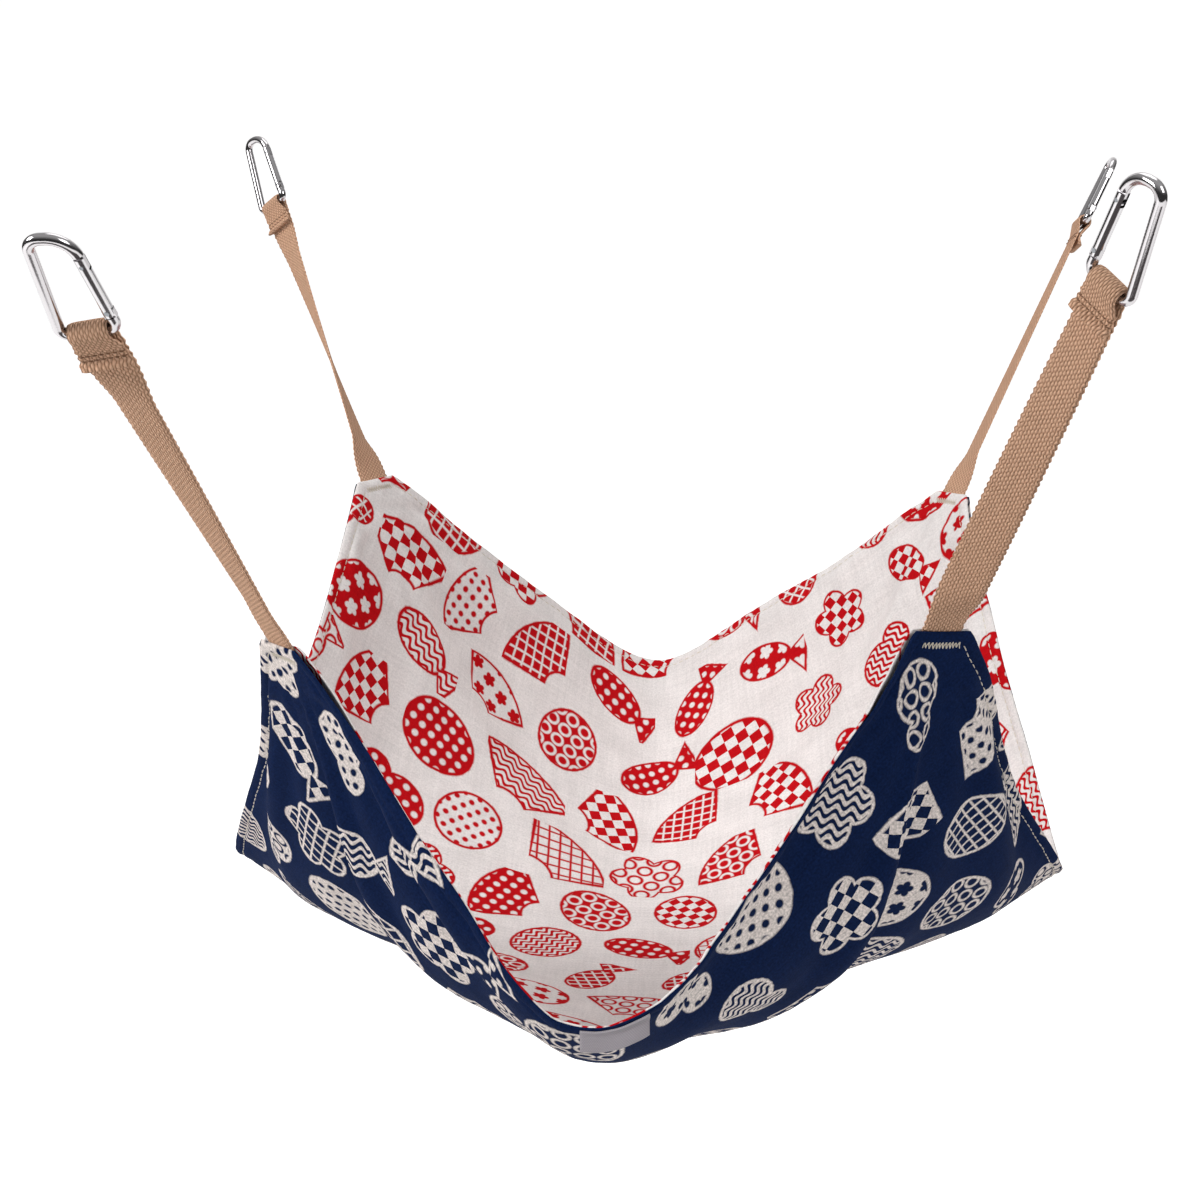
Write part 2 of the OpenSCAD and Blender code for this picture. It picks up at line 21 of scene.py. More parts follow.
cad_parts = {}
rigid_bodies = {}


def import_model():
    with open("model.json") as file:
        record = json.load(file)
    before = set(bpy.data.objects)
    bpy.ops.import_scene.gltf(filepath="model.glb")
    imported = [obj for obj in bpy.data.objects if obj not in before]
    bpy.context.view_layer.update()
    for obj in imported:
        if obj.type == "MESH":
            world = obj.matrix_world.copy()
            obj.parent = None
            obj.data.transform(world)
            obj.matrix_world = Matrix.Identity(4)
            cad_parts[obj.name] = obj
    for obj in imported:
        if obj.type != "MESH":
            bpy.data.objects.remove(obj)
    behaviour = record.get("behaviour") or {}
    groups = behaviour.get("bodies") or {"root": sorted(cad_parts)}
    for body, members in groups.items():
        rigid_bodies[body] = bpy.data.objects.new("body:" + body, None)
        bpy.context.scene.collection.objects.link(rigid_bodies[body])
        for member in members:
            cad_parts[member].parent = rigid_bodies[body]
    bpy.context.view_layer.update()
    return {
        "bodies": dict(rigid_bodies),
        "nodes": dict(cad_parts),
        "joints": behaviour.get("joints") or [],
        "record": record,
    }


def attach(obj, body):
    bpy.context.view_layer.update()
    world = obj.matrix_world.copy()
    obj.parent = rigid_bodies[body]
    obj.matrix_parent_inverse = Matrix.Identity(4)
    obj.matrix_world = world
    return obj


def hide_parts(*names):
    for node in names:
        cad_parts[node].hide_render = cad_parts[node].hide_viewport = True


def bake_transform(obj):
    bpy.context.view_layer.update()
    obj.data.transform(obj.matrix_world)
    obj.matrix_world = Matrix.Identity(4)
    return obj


LOG = logging.getLogger("cat_hammock")
MM = 0.001
Array = np.ndarray
Socket = bpy.types.NodeSocket
Material = bpy.types.Material
Piece = bpy.types.Object
Colour = tuple[float, float, float, float]
BODY_SLING = "sling"
WHITE = "#ffffff"
# Range that most values of a noise lie in
NOISE_SPAN = (0.3, 0.7)


class Corner(Enum):
    """Corners of the sling, with the signs of X and Y that they lie at."""

    FRONT_LEFT = ("front_left", -1, -1)
    FRONT_RIGHT = ("front_right", 1, -1)
    BACK_LEFT = ("back_left", -1, 1)
    BACK_RIGHT = ("back_right", 1, 1)

    @property
    def label(self) -> str:
        """Name that the corner's nodes and bodies end in."""
        return self.value[0]

    @property
    def sign(self) -> Array:
        """Signs of X and Y at this corner."""
        return np.array(self.value[1:], float)


class Face(Enum):
    """The two layers of the sling, with the side of the sheet that each is on."""

    OUTER = -1
    LINING = 1


def unit(v: Array) -> Array:
    """Vectors along the last axis, scaled to length one."""
    return v / np.linalg.norm(v, axis=-1, keepdims=True)


def mix(a: Any, b: Any, t: Any) -> Any:
    """Straight blend from a to b."""
    return a * (1 - t) + b * t


def ease(t: Array) -> Array:
    """Smooth step from 0 at 0 to 1 at 1."""
    s = np.clip(t, 0.0, 1.0)
    return s * s * (3 - 2 * s)


def spin(v: Array, axis: Array, angle: Array) -> Array:
    """Turns vectors about an axis by angles in radians."""
    c, s = np.cos(angle)[..., None], np.sin(angle)[..., None]
    return v * c + np.cross(axis, v) * s + axis * (v @ axis)[..., None] * (1 - c)


def linear(hex_colour: str) -> Colour:
    """Linear colour of an sRGB hex value.

    Args:
        hex_colour: six hex digits after a hash sign.

    Returns:
        Red, green, blue and an alpha of one.
    """
    parts = [int(hex_colour[i:i + 2], 16) / 255 for i in (1, 3, 5)]
    values = [p / 12.92 if p <= 0.04045 else ((p + 0.055) / 1.055) ** 2.4 for p in parts]
    return (values[0], values[1], values[2], 1.0)


def darker(hex_colour: str, share: float) -> Colour:
    """Linear colour of an sRGB hex value, at a share of its brightness."""
    red, green, blue, alpha = linear(hex_colour)
    return (share * red, share * green, share * blue, alpha)


def add_node(tree: bpy.types.NodeTree, kind: str, links: dict[Any, Any] | None = None,
             **settings: Any) -> bpy.types.Node:
    """Adds a shader node with its settings, values and links.

    Args:
        tree: node tree that the node goes into.
        kind: the node's type, without the leading ShaderNode.
        links: input name or number to a socket, which is linked, or a value, which is set.
        **settings: attributes of the node.

    Returns:
        The new node.
    """
    made = tree.nodes.new("ShaderNode" + kind)
    for name, value in settings.items():
        setattr(made, name, value)
    for key, value in (links or {}).items():
        if isinstance(value, Socket):
            tree.links.new(value, made.inputs[key])
        else:
            made.inputs[key].default_value = value
    return made


@dataclass(frozen=True)
class Nodes:
    """A node tree, with short ways to add the kinds of node that the finishes share."""

    tree: bpy.types.NodeTree

    def add(self, kind: str, links: dict[Any, Any] | None = None, out: Any = 0, **settings: Any) -> Socket:
        """Adds a node and gives one of its outputs."""
        return add_node(self.tree, kind, links, **settings).outputs[out]

    def calc(self, operation: str, *values: Any) -> Socket:
        """One step of arithmetic on numbers and sockets."""
        return self.add("Math", dict(enumerate(values)), operation=operation)

    def vec(self, operation: str, *values: Any) -> Socket:
        """One step of vector arithmetic, giving a vector or, for a length, a number."""
        out = 1 if operation == "LENGTH" else 0
        return self.add("VectorMath", dict(enumerate(values)), out, operation=operation)

    def scaled(self, vector: Socket, factor: Any) -> Socket:
        """A vector or colour times a number."""
        return self.add("VectorMath", {0: vector, "Scale": factor}, operation="SCALE")

    def split(self, vector: Socket) -> list[Socket]:
        """The three parts of a vector."""
        return list(add_node(self.tree, "SeparateXYZ", {0: vector}).outputs)

    def noise(self, place: Socket, scale: float, detail: float = 2.0, distortion: float = 0.0) -> Socket:
        """Soft noise about a middle of one half."""
        return self.add("TexNoise", {"Vector": place, "Scale": scale, "Detail": detail,
                                     "Distortion": distortion})

    def ranged(self, value: Socket, low: float, high: float, start: float = 0.0, end: float = 1.0) -> Socket:
        """A value brought from one range to another, and kept in it."""
        return self.add("MapRange", {0: value, 1: low, 2: high, 3: start, 4: end})

    def either(self, share: Socket, first: Any, second: Any) -> Socket:
        """Blend of two numbers."""
        return self.add("Mix", {0: share, 2: first, 3: second})

    def tint(self, share: Socket, first: Colour, second: Colour) -> Socket:
        """Blend of two linear colours."""
        return self.add("Mix", {0: share, 6: first, 7: second}, 2, data_type="RGBA")

    def bump(self, height: Socket, strength: float, distance: float) -> Socket:
        """Normals of a fine relief, with its distance in millimetres."""
        return self.add("Bump", {"Strength": strength, "Distance": distance * MM, "Height": height})

    def rays(self, *kinds: str) -> Socket:
        """Tells rays of some kinds from all others.

        Args:
            *kinds: names of the light path's outputs.

        Returns:
            Socket that is 1 for rays of these kinds.
        """
        path = add_node(self.tree, "LightPath").outputs
        found = path[kinds[0]]
        for kind in kinds[1:]:
            found = self.calc("MAXIMUM", found, path[kind])
        return found

    def surface(self, inputs: dict[str, Any]) -> None:
        """Ends a material's tree in a surface with these inputs."""
        add_node(self.tree, "OutputMaterial", {0: self.add("BsdfPrincipled", inputs)})


def new_material(name: str) -> tuple[Material, Nodes]:
    """Starts a material with an empty tree.

    Args:
        name: the material's name.

    Returns:
        The material and its tree.
    """
    material = bpy.data.materials.new(name)
    material.use_nodes = True
    material.node_tree.nodes.clear()
    return material, Nodes(material.node_tree)


def mesh_piece(name: str, points: Array, faces: Sequence[Sequence[int]], material: Material | None = None,
               uv: Array | None = None) -> Piece:
    """Makes a smooth mesh object at the origin from points in millimetres.

    Args:
        name: the piece's name.
        points: one row per vertex.
        faces: vertex numbers of each face.
        material: the piece's finish.
        uv: map coordinates of each vertex.

    Returns:
        The new object, linked to the scene.
    """
    mesh = bpy.data.meshes.new(name)
    mesh.from_pydata((points * MM).tolist(), [], [list(f) for f in faces])
    mesh.update()
    if uv is not None:
        layer = mesh.uv_layers.new(name="flat")
        corners = np.zeros(len(mesh.loops), np.int32)
        mesh.loops.foreach_get("vertex_index", corners)
        layer.data.foreach_set("uv", uv[corners].astype(np.float32).ravel())
    mesh.polygons.foreach_set("use_smooth", np.ones(len(mesh.polygons), bool))
    if material is not None:
        mesh.materials.append(material)
    made = bpy.data.objects.new(name, mesh)
    bpy.context.scene.collection.objects.link(made)
    return made


def grid_faces(rows: int, cols: int) -> Array:
    """Quads of a grid of points, counted along its rows.

    Args:
        rows: rows of the grid.
        cols: columns of the grid.

    Returns:
        Vertex numbers of each quad.
    """
    index = np.arange(rows * cols).reshape(rows, cols)
    corners = [index[:-1, :-1], index[:-1, 1:], index[1:, 1:], index[1:, :-1]]
    return np.stack(corners, -1).reshape(-1, 4)


def closed_grid_faces(rows: int, cols: int) -> list[list[int]]:
    """Faces of a closed sheet between two grids of points, the lower grid first.

    Args:
        rows: rows of each grid.
        cols: columns of each grid.

    Returns:
        Quads of both sides and of the rim.
    """
    index = np.arange(rows * cols).reshape(rows, cols)
    quads = grid_faces(rows, cols)
    rim = np.concatenate([index[0, :-1], index[:-1, -1], index[-1, :0:-1], index[:0:-1, 0]])
    after = np.roll(rim, -1)
    sides = np.stack([rim, after, after + rows * cols, rim + rows * cols], -1)
    return np.concatenate([quads + rows * cols, quads[:, [0, 3, 2, 1]], sides]).tolist()


def tube_faces(rings: int, sides: int) -> list[list[int]]:
    """Faces of a closed tube of rings.

    Args:
        rings: rings along the tube.
        sides: points of each ring.

    Returns:
        Quads of the wall, then both ends.
    """
    index = np.arange(rings * sides).reshape(rings, sides)
    turned = np.roll(index, -1, 1)
    quads = np.stack([index[:-1], turned[:-1], turned[1:], index[1:]], -1).reshape(-1, 4)
    return quads.tolist() + [index[0, ::-1].tolist(), index[-1].tolist()]


@dataclass(frozen=True)
class PrintedCotton:
    """Plain-weave cotton with a one-colour print of scattered traditional patterns.

    The thread shows as a fine even grain with slubs, and the ink lies in the weave, so it is as dull as
    the ground. Scattered round, fan, blossom, fish and gourd shapes are filled with checks, dots,
    waves, lattices and small blossoms.
    """

    name: str
    ground: str
    ink: str
    seed: float
    slub: float
    # Unevenness of the single threads' colour
    fleck: float
    # Width and height of the cell that each motif has, how far it strays there, and its turn in radians
    cell: tuple[float, float] = (51.0, 44.0)
    stray: tuple[float, float] = (7.0, 5.0)
    most_turn: float = 2.6
    # Smallest motif, and how much more the largest has
    size_range: tuple[float, float] = (0.76, 0.22)
    # Share of the motifs whose filling isn't reversed
    plain_share: float = 0.3
    # Half the width of the outlines, lattices and rings, and of the ink's soft edge
    line: float = 0.75
    soft: float = 0.35
    # Cotton of this weight has about 24 threads a centimetre; drawn at half that, so that it shows
    thread: float = 0.85
    # Height of the slubs against the weave's, and strength of both
    slub_relief: float = 1.5
    relief: float = 0.35
    # The map runs from 0 to 1 over this many millimetres
    map_span: float = 600.0

    def make(self) -> Material:
        """Builds the material.

        Returns:
            A material that reads the piece's flat map.
        """
        material, nodes = new_material(self.name)
        place = nodes.add("UVMap", uv_map="flat")
        flat = nodes.vec("MULTIPLY", place, (self.map_span, self.map_span, 1.0))
        ink = self._ink(nodes, flat)
        # Slubs: thick stretches of thread, long one way and narrow the other
        slubs = [nodes.noise(nodes.add("Mapping", {"Vector": flat, "Scale": stretch}), 1.0)
                 for stretch in ((0.5, 0.03, 1.0), (0.03, 0.5, 1.0))]
        both = nodes.calc("ADD", *slubs)
        streak = nodes.ranged(both, 0.7, 1.3, 1 - self.slub, 1 + self.slub)
        # Broad patches of slightly uneven dye
        tone = nodes.ranged(nodes.noise(flat, 0.05, 3.0), *NOISE_SPAN, 0.94, 1.05)
        # Flecks of lighter and darker thread, about a millimetre across so that they show
        fleck = nodes.ranged(nodes.noise(flat, 0.95), *NOISE_SPAN, 1 - self.fleck, 1 + self.fleck)
        level = nodes.calc("MULTIPLY", nodes.calc("MULTIPLY", streak, tone), fleck)
        colour = nodes.tint(ink, linear(self.ground), linear(self.ink))
        warp, weft, _ = nodes.split(nodes.vec("SINE", nodes.scaled(flat, 2 * math.pi / self.thread)))
        lumps = nodes.calc("MULTIPLY_ADD", both, self.slub_relief, nodes.calc("MULTIPLY", warp, weft))
        nodes.surface({"Base Color": nodes.scaled(colour, level), "Roughness": 0.9,
                       "Normal": nodes.bump(lumps, self.relief, 0.2), "Specular IOR Level": 0.06})
        return material

    def _ink(self, nodes: Nodes, flat: Socket) -> Socket:
        """Builds the print.

        Args:
            nodes: the material's tree.
            flat: place on the flat cloth, in millimetres.

        Returns:
            Socket that is 1 where there is ink.
        """
        calc, vec, split = nodes.calc, nodes.vec, nodes.split
        width, height = self.cell
        x, y, _ = split(vec("ADD", flat, (self.seed * 7.3, self.seed * 3.1, 0.0)))
        up = calc("DIVIDE", y, height)
        row = calc("FLOOR", up)
        lag = calc("MULTIPLY", calc("FLOORED_MODULO", row, 2.0), 0.5)
        across = calc("ADD", calc("DIVIDE", x, width), lag)
        column = calc("FLOOR", across)
        cell = nodes.add("CombineXYZ", {0: column, 1: row, 2: self.seed})
        other = vec("ADD", cell, (31.7, 11.3, 5.9))
        chance, chance_b = (nodes.add("TexWhiteNoise", {0: place}, 1, noise_dimensions="3D")
                            for place in (cell, other))
        turn, filling, polarity = split(chance)
        shape, size, _ = split(chance_b)

        def from_middle(part: Socket, whole: Socket, span: float) -> Socket:
            """Distance from the middle of a cell, one way."""
            return calc("MULTIPLY", calc("SUBTRACT", calc("SUBTRACT", part, whole), 0.5), span)

        local = nodes.add("CombineXYZ", {0: from_middle(across, column, width),
                                         1: from_middle(up, row, height)})
        drift = vec("MULTIPLY", vec("SUBTRACT", chance_b, (0.5, 0.5, 0.5)), (*self.stray, 0.0))
        angle = calc("MULTIPLY", calc("SUBTRACT", turn, 0.5), self.most_turn)
        moved = vec("SUBTRACT", local, drift)
        turned = nodes.add("VectorRotate", {0: moved, 3: angle}, rotation_type="Z_AXIS")
        q = nodes.scaled(turned, calc("MULTIPLY_ADD", size, self.size_range[1], self.size_range[0]))
        edge = self._pick(nodes, self._shapes(nodes, q), shape)
        pattern = self._pick(nodes, self._fillings(nodes, q), filling)
        flip = calc("GREATER_THAN", polarity, self.plain_share)
        body = nodes.either(flip, pattern, calc("SUBTRACT", 1.0, pattern))
        outline = self._under(nodes, calc("ABSOLUTE", calc("ADD", edge, 0.8)), self.line)
        return calc("MULTIPLY", calc("MAXIMUM", body, outline), self._under(nodes, edge, 0.0))

    def _under(self, nodes: Nodes, value: Socket, level: float, soft: float | None = None) -> Socket:
        """Soft step: 1 where the value is below the level."""
        width = self.soft if soft is None else soft
        return nodes.ranged(nodes.calc("SUBTRACT", level, value), -width, width)

    @staticmethod
    def _pick(nodes: Nodes, options: Sequence[Socket], chance: Socket) -> Socket:
        """Picks one of some options.

        Args:
            nodes: the material's tree.
            options: sockets to pick from.
            chance: number from 0 to 1 that decides.

        Returns:
            The value of the one picked.
        """
        picked = options[0]
        for n, option in enumerate(options[1:], 1):
            picked = nodes.either(nodes.calc("GREATER_THAN", chance, n / len(options)), picked, option)
        return picked

    @staticmethod
    def _petals(nodes: Nodes, vector: Socket, core: float, lobe: float) -> Socket:
        """Draws a five-petalled blossom.

        Args:
            nodes: the material's tree.
            vector: place from its middle.
            core: radius between the petals.
            lobe: how much further the petals reach.

        Returns:
            Distance outside it.
        """
        x, y, _ = nodes.split(vector)
        half_turns = nodes.calc("MULTIPLY", nodes.calc("ARCTAN2", y, x), 2.5)
        swing = nodes.calc("ABSOLUTE", nodes.calc("COSINE", half_turns))
        reach = nodes.calc("MULTIPLY_ADD", swing, lobe, core)
        return nodes.calc("SUBTRACT", nodes.vec("LENGTH", vector), reach)

    def _shapes(self, nodes: Nodes, q: Socket) -> list[Socket]:
        """Distances outside the shapes of the motifs.

        Args:
            nodes: the material's tree.
            q: place in the motif, in millimetres from its middle.

        Returns:
            A socket for a round, a fan, a blossom, a gourd and a fish, below zero inside each.
        """
        calc, vec = nodes.calc, nodes.vec

        def oval(move: tuple[float, float], stretch: tuple[float, float], radius: float) -> Socket:
            """Distance outside an oval."""
            moved = vec("ADD", q, (*move, 0.0))
            return calc("SUBTRACT", vec("LENGTH", vec("MULTIPLY", moved, (*stretch, 0.0))), radius)

        qx, qy, _ = nodes.split(q)
        egg = oval((0.0, 0.0), (0.86, 1.0), 16.5)
        low = vec("ADD", q, (0.0, 20.0, 0.0))
        low_x, low_y, _ = nodes.split(low)
        band = calc("SUBTRACT", calc("ABSOLUTE", calc("SUBTRACT", vec("LENGTH", low), 23.0)), 12.5)
        wing = calc("MULTIPLY_ADD", calc("ABSOLUTE", calc("ARCTAN2", low_x, low_y)), 22.0, -16.5)
        fan = calc("MAXIMUM", band, wing)
        trunk = oval((5.0, 0.0), (0.8, 1.3), 13.0)
        spread = calc("SUBTRACT", calc("ABSOLUTE", qy), calc("MULTIPLY_ADD", qx, 0.85, -6.0))
        fish = calc("MINIMUM", trunk, calc("MAXIMUM", spread, calc("SUBTRACT", qx, 20.0)))
        gourd = calc("MINIMUM", oval((0.0, -10.5), (1.0, 1.0), 8.2), oval((0.0, 5.5), (1.0, 1.0), 12.5))
        return [egg, fan, self._petals(nodes, q, 12.5, 5.0), gourd, fish]

    def _fillings(self, nodes: Nodes, q: Socket) -> list[Socket]:
        """Patterns that fill the motifs.

        Args:
            nodes: the material's tree.
            q: place in the motif, in millimetres from its middle.

        Returns:
            A socket for checks, dots, waves, blossoms, a lattice and rings, 1 where each has ink.
        """
        calc, vec, under = nodes.calc, nodes.vec, self._under

        def tiles(size: float) -> Socket:
            """Place in a square tile, in millimetres from its middle."""
            part = vec("FRACTION", vec("DIVIDE", q, (size, size, 1e6)))
            return vec("MULTIPLY", vec("SUBTRACT", part, (0.5, 0.5, 0.0)), (size, size, 0.0))

        qx, qy, _ = nodes.split(q)
        checks = nodes.add("TexChecker", {0: vec("ADD", q, (100.0, 100.0, 0.5)), 3: 1 / 5.2}, 1)
        dots = under(nodes, vec("LENGTH", tiles(5.6)), 1.55)
        sway = calc("MULTIPLY", calc("SINE", calc("MULTIPLY", qx, 0.9)), 1.25)
        waves = under(nodes, calc("SINE", calc("MULTIPLY", calc("ADD", qy, sway), 1.7)), 0.1, 0.3)
        blooms = under(nodes, self._petals(nodes, tiles(11.0), 2.6, 1.5), 0.0)
        bars = [calc("PINGPONG", calc(way, qx, qy), 3.6) for way in ("ADD", "SUBTRACT")]
        lattice = under(nodes, calc("MINIMUM", *bars), self.line)
        rings = under(nodes, calc("ABSOLUTE", calc("SUBTRACT", vec("LENGTH", tiles(8.4)), 3.1)), self.line)
        return [checks, dots, waves, blooms, lattice, rings]


@dataclass(frozen=True)
class WovenTape:
    """Cotton webbing or label tape: ribs across the length, with warp columns between them, and painted shade
    in the low places of the weave.
    """

    name: str
    # Colour of the weave's high places, and the painted shade of its low places between the ribs and columns
    colour: str
    shadow: str
    # Rib pitch along the tape and column pitch across it
    rib: float
    column: float
    relief: float
    gloss: float = 0.84
    shine: float = 0.1
    # Heights of the ribs and of loose fibre against the columns', and how drawn out the fibre is
    rib_share: float = 0.6
    fibre_share: float = 0.8
    fibre_draw: float = 0.25
    map_span: float = 300.0

    def make(self) -> Material:
        """Builds the material.

        Returns:
            A material that reads the piece's flat map.
        """
        material, nodes = new_material(self.name)
        calc = nodes.calc
        place = nodes.add("UVMap", uv_map="flat")
        turns = (2 * math.pi * self.map_span / self.column, 2 * math.pi * self.map_span / self.rib, 1.0)
        across, along, _ = nodes.split(nodes.vec("MULTIPLY", place, turns))
        # Every other column is set off by half a rib
        side = calc("SINE", across)
        rib = calc("SINE", calc("MULTIPLY_ADD", calc("SIGN", side), math.pi / 2, along))
        knit = calc("MULTIPLY_ADD", rib, self.rib_share, calc("ABSOLUTE", side))
        fibre_at = nodes.vec("MULTIPLY", place, (self.map_span, self.map_span * self.fibre_draw, 1.0))
        height = calc("MULTIPLY_ADD", nodes.noise(fibre_at, 1.3, 4.0), self.fibre_share, knit)
        # Painted shade: the low places of the weave take the shadow colour and its high places the lit one;
        # the loose fibre's noise mottles both
        colour = nodes.tint(nodes.ranged(height, -0.3, 1.5), linear(self.shadow), linear(self.colour))
        nodes.surface({"Base Color": colour, "Roughness": self.gloss,
                       "Normal": nodes.bump(height, self.relief, 0.4),
                       "Sheen Weight": 0.02, "Specular IOR Level": self.shine})
        return material


@dataclass(frozen=True)
class SewingThread:
    """Twisted cotton-wrapped sewing thread: dull, with the shade of its twist painted on as a little
    unevenness along it.
    """

    name: str
    colour: str
    # Brightness of the painted shade on the dark side of its twist, and turns of it in a metre
    shade: float = 0.72
    twist: float = 1800.0

    def make(self) -> Material:
        """Builds the material.

        Returns:
            A material that needs no map.
        """
        material, nodes = new_material(self.name)
        twist = nodes.noise(nodes.add("TexCoord", out="Object"), self.twist)
        # Painted shade: a noise darkens patches of the thread, standing for the dark side of its twist
        colour = nodes.tint(twist, darker(self.colour, self.shade), linear(self.colour))
        nodes.surface({"Base Color": colour, "Roughness": 0.7, "Sheen Weight": 0.2})
        return material


@dataclass(frozen=True)
class PolishedMetal:
    """Tumbled and polished rod: bright, with faint scratches and a slightly cloudy reflection."""

    name: str
    colour: str
    roughness: float
    # Spacing of the polishing marks, and of the cloudy patches
    marks: float = 0.5
    patches: float = 12.0
    # Brightness of the dark patches, and how far their roughness goes either way
    shade: float = 0.86
    dullness: tuple[float, float] = (0.75, 1.5)

    def make(self) -> Material:
        """Builds the material.

        Returns:
            A material that needs no map.
        """
        material, nodes = new_material(self.name)
        place = nodes.add("TexCoord", out="Object")
        cloud = nodes.noise(place, 1 / (self.patches * MM), 3.0)
        scuff = nodes.noise(place, 1 / (self.marks * MM), 5.0, 1.5)
        dull = nodes.ranged(cloud, 0.35, 0.7, *(self.roughness * share for share in self.dullness))
        tint = nodes.tint(cloud, darker(self.colour, self.shade), linear(self.colour))
        nodes.surface({"Base Color": tint, "Metallic": 1.0, "Roughness": dull,
                       "Normal": nodes.bump(scuff, 0.06, 0.1)})
        return material


@dataclass(frozen=True)
class HungForm:
    """Shape that the sheet hangs in: a low bowl with four steep corner flaps.

    The sizes are those of the solids. Flat places run from the middle of the sheet.
    """

    width: float = 450.0
    depth: float = 530.0
    corner_cut: float = 28.0
    fold_reach: float = 49.0
    dip_reach: float = 16.0
    front_rise: float = 69.0
    right_rise: float = 46.0
    back_rise: float = 97.0
    left_rise: float = 54.0
    flap_angle: tuple[float, ...] = (67.0, 74.0, 58.0, 54.5)
    flap_mix: float = 0.35
    # Twist of each corner in degrees, and the distances from the tip at which it is whole and gone
    corner_twist: tuple[float, ...] = (3.0, -26.0, 0.0, -12.0)
    twist_full: float = 20.0
    twist_end: float = 170.0
    # Sag behind the middle of the front edge, and how far the side edges draw in
    belly: float = 10.0
    hollow: float = 7.0
    # Shares of the half width and the half depth that the sag covers
    belly_wide: float = 0.6
    belly_deep: float = 0.8

    @property
    def half(self) -> Array:
        """Half the flat width and depth."""
        return np.array([self.width, self.depth]) / 2

    @property
    def cut_leg(self) -> float:
        """Length that a cut corner takes off each edge."""
        return self.corner_cut / math.sqrt(2)

    def flat_grid(self, cols: int, rows: int) -> Array:
        """Evenly spaced flat places of the whole sheet."""
        hx, hy = self.half
        return np.stack(np.meshgrid(np.linspace(-hx, hx, cols), np.linspace(-hy, hy, rows)), -1)

    def from_tip(self, flat: Array) -> Array:
        """Flat distance of places from the tip of the nearest corner."""
        return np.linalg.norm(self.half - np.abs(flat), axis=-1)

    def _middles(self) -> tuple[Array, Array, Array, Array]:
        """Finds the middles of the edges as they hang.

        Returns:
            Those of the left, right, front and back edges.
        """
        hx, hy = self.half

        def drawn(flat: float, rise: float) -> float:
            """Level reach of a flat length that rises at its end."""
            return flat - 2 / 3 * rise * rise / flat

        return (np.array([-drawn(hx, self.left_rise), 0, self.left_rise]),
                np.array([drawn(hx, self.right_rise), 0, self.right_rise]),
                np.array([0, -drawn(hy, self.front_rise), self.front_rise]),
                np.array([0, drawn(hy, self.back_rise), self.back_rise]))

    def _tip(self, corner: Corner, angle: float) -> tuple[Array, Array]:
        """Tip of a corner flap, which keeps its flat distance to the middles of both its edges.

        Args:
            corner: which corner.
            angle: steepness of its flap in degrees.

        Returns:
            The tip, and the direction of the flap's middle line up to it.
        """
        left, right, front, back = self._middles()
        hx, hy = self.half
        sx, sy = corner.sign
        a, b = (left if sx < 0 else right), (front if sy < 0 else back)
        line = b - a
        e = unit(line)
        along = (hy * hy - hx * hx + line @ line) / (2 * np.linalg.norm(line))
        reach = math.sqrt(hy * hy - along * along)
        level = unit(np.array([-e[1], e[0], 0.0]))
        out = level * np.sign(level[0] * sx + level[1] * sy)
        steep = np.cross(out, e)
        up = steep * np.sign(steep[2])
        axis = math.cos(math.radians(angle)) * out + math.sin(math.radians(angle)) * up
        return a + e * along + reach * axis, axis

    def _twisted(self, flat: Array, places: Array) -> Array:
        """Turns the cloth near each tip about its flap's middle line, as the strap does.

        Args:
            flat: X and Y on the flat sheet along the last axis.
            places: where they hang before the turn.

        Returns:
            Where they hang after it.
        """
        turned = places.copy()
        near = np.clip(1 - self.from_tip(flat) / self.twist_end, 0, 1)
        fall = near / (1 - self.twist_full / self.twist_end)
        for corner, angle, twist in zip(Corner, self.flap_angle, self.corner_twist):
            tip, axis = self._tip(corner, angle)
            here = np.all(np.where(flat < 0, -1, 1) == corner.sign, axis=-1)
            bend = np.where(here, np.minimum(fall ** 2, 1.0), 0.0) * math.radians(twist)
            turned = np.where(here[..., None], tip + spin(places - tip, axis, bend), turned)
        return turned

    def points(self, flat: Array) -> Array:
        """Hung places of flat places.

        Args:
            flat: X and Y on the flat sheet along the last axis.

        Returns:
            Places in millimetres, with the lowest point of the sheet at the origin.
        """
        left, right, front, back = self._middles()
        hx, hy = self.half
        u, v = flat[..., 0] / hx, flat[..., 1] / hy

        def soft_abs(t: Array, e: float) -> Array:
            """Size of a number, with a rounded dip at zero."""
            return (np.sqrt(t * t + e * e) - e) / (math.sqrt(1 + e * e) - e)

        p, q = soft_abs(u, self.dip_reach / hx), soft_abs(v, self.dip_reach / hy)
        w = p + q - 1
        fold = self.fold_reach / (hx * hy / math.hypot(hx, hy))
        lift = np.where(w < -fold, 0, np.where(w < fold, (w + fold) ** 2 / (4 * fold), w))
        s, t = ease((u / self.flap_mix + 1) / 2), ease((v / self.flap_mix + 1) / 2)
        bowl = (p * mix(left[2], right[2], s) + q * mix(front[2], back[2], t)) * (p + q - lift)
        x = u * (right[0] - left[0]) / 2 + p * (right[0] + left[0]) / 2
        y = v * (back[1] - front[1]) / 2 + q * (back[1] + front[1]) / 2
        ends = (left + front, right + front, left + back, right + back)
        rise = [self._tip(c, a)[0] - e for c, a, e in zip(Corner, self.flap_angle, ends)]
        s3, t3 = s[..., None], t[..., None]
        corner = mix(mix(rise[0], rise[1], s3), mix(rise[2], rise[3], s3), t3)
        near = np.clip((v + 1) / self.belly_deep, 0, 1)
        # 27/4 brings the highest value of near (1 - near)^2 to one, and 4 that of lift (1 - lift)
        sag = self.belly * np.clip(1 - (u / self.belly_wide) ** 2, 0, 1) ** 2 * 6.75 * near * (1 - near) ** 2
        drawn_in = np.sign(u) * self.hollow * u ** 4 * 4 * lift * (1 - lift)
        hung = np.stack([x - drawn_in, y, bowl - sag], -1) + lift[..., None] * corner
        return self._twisted(flat, hung)


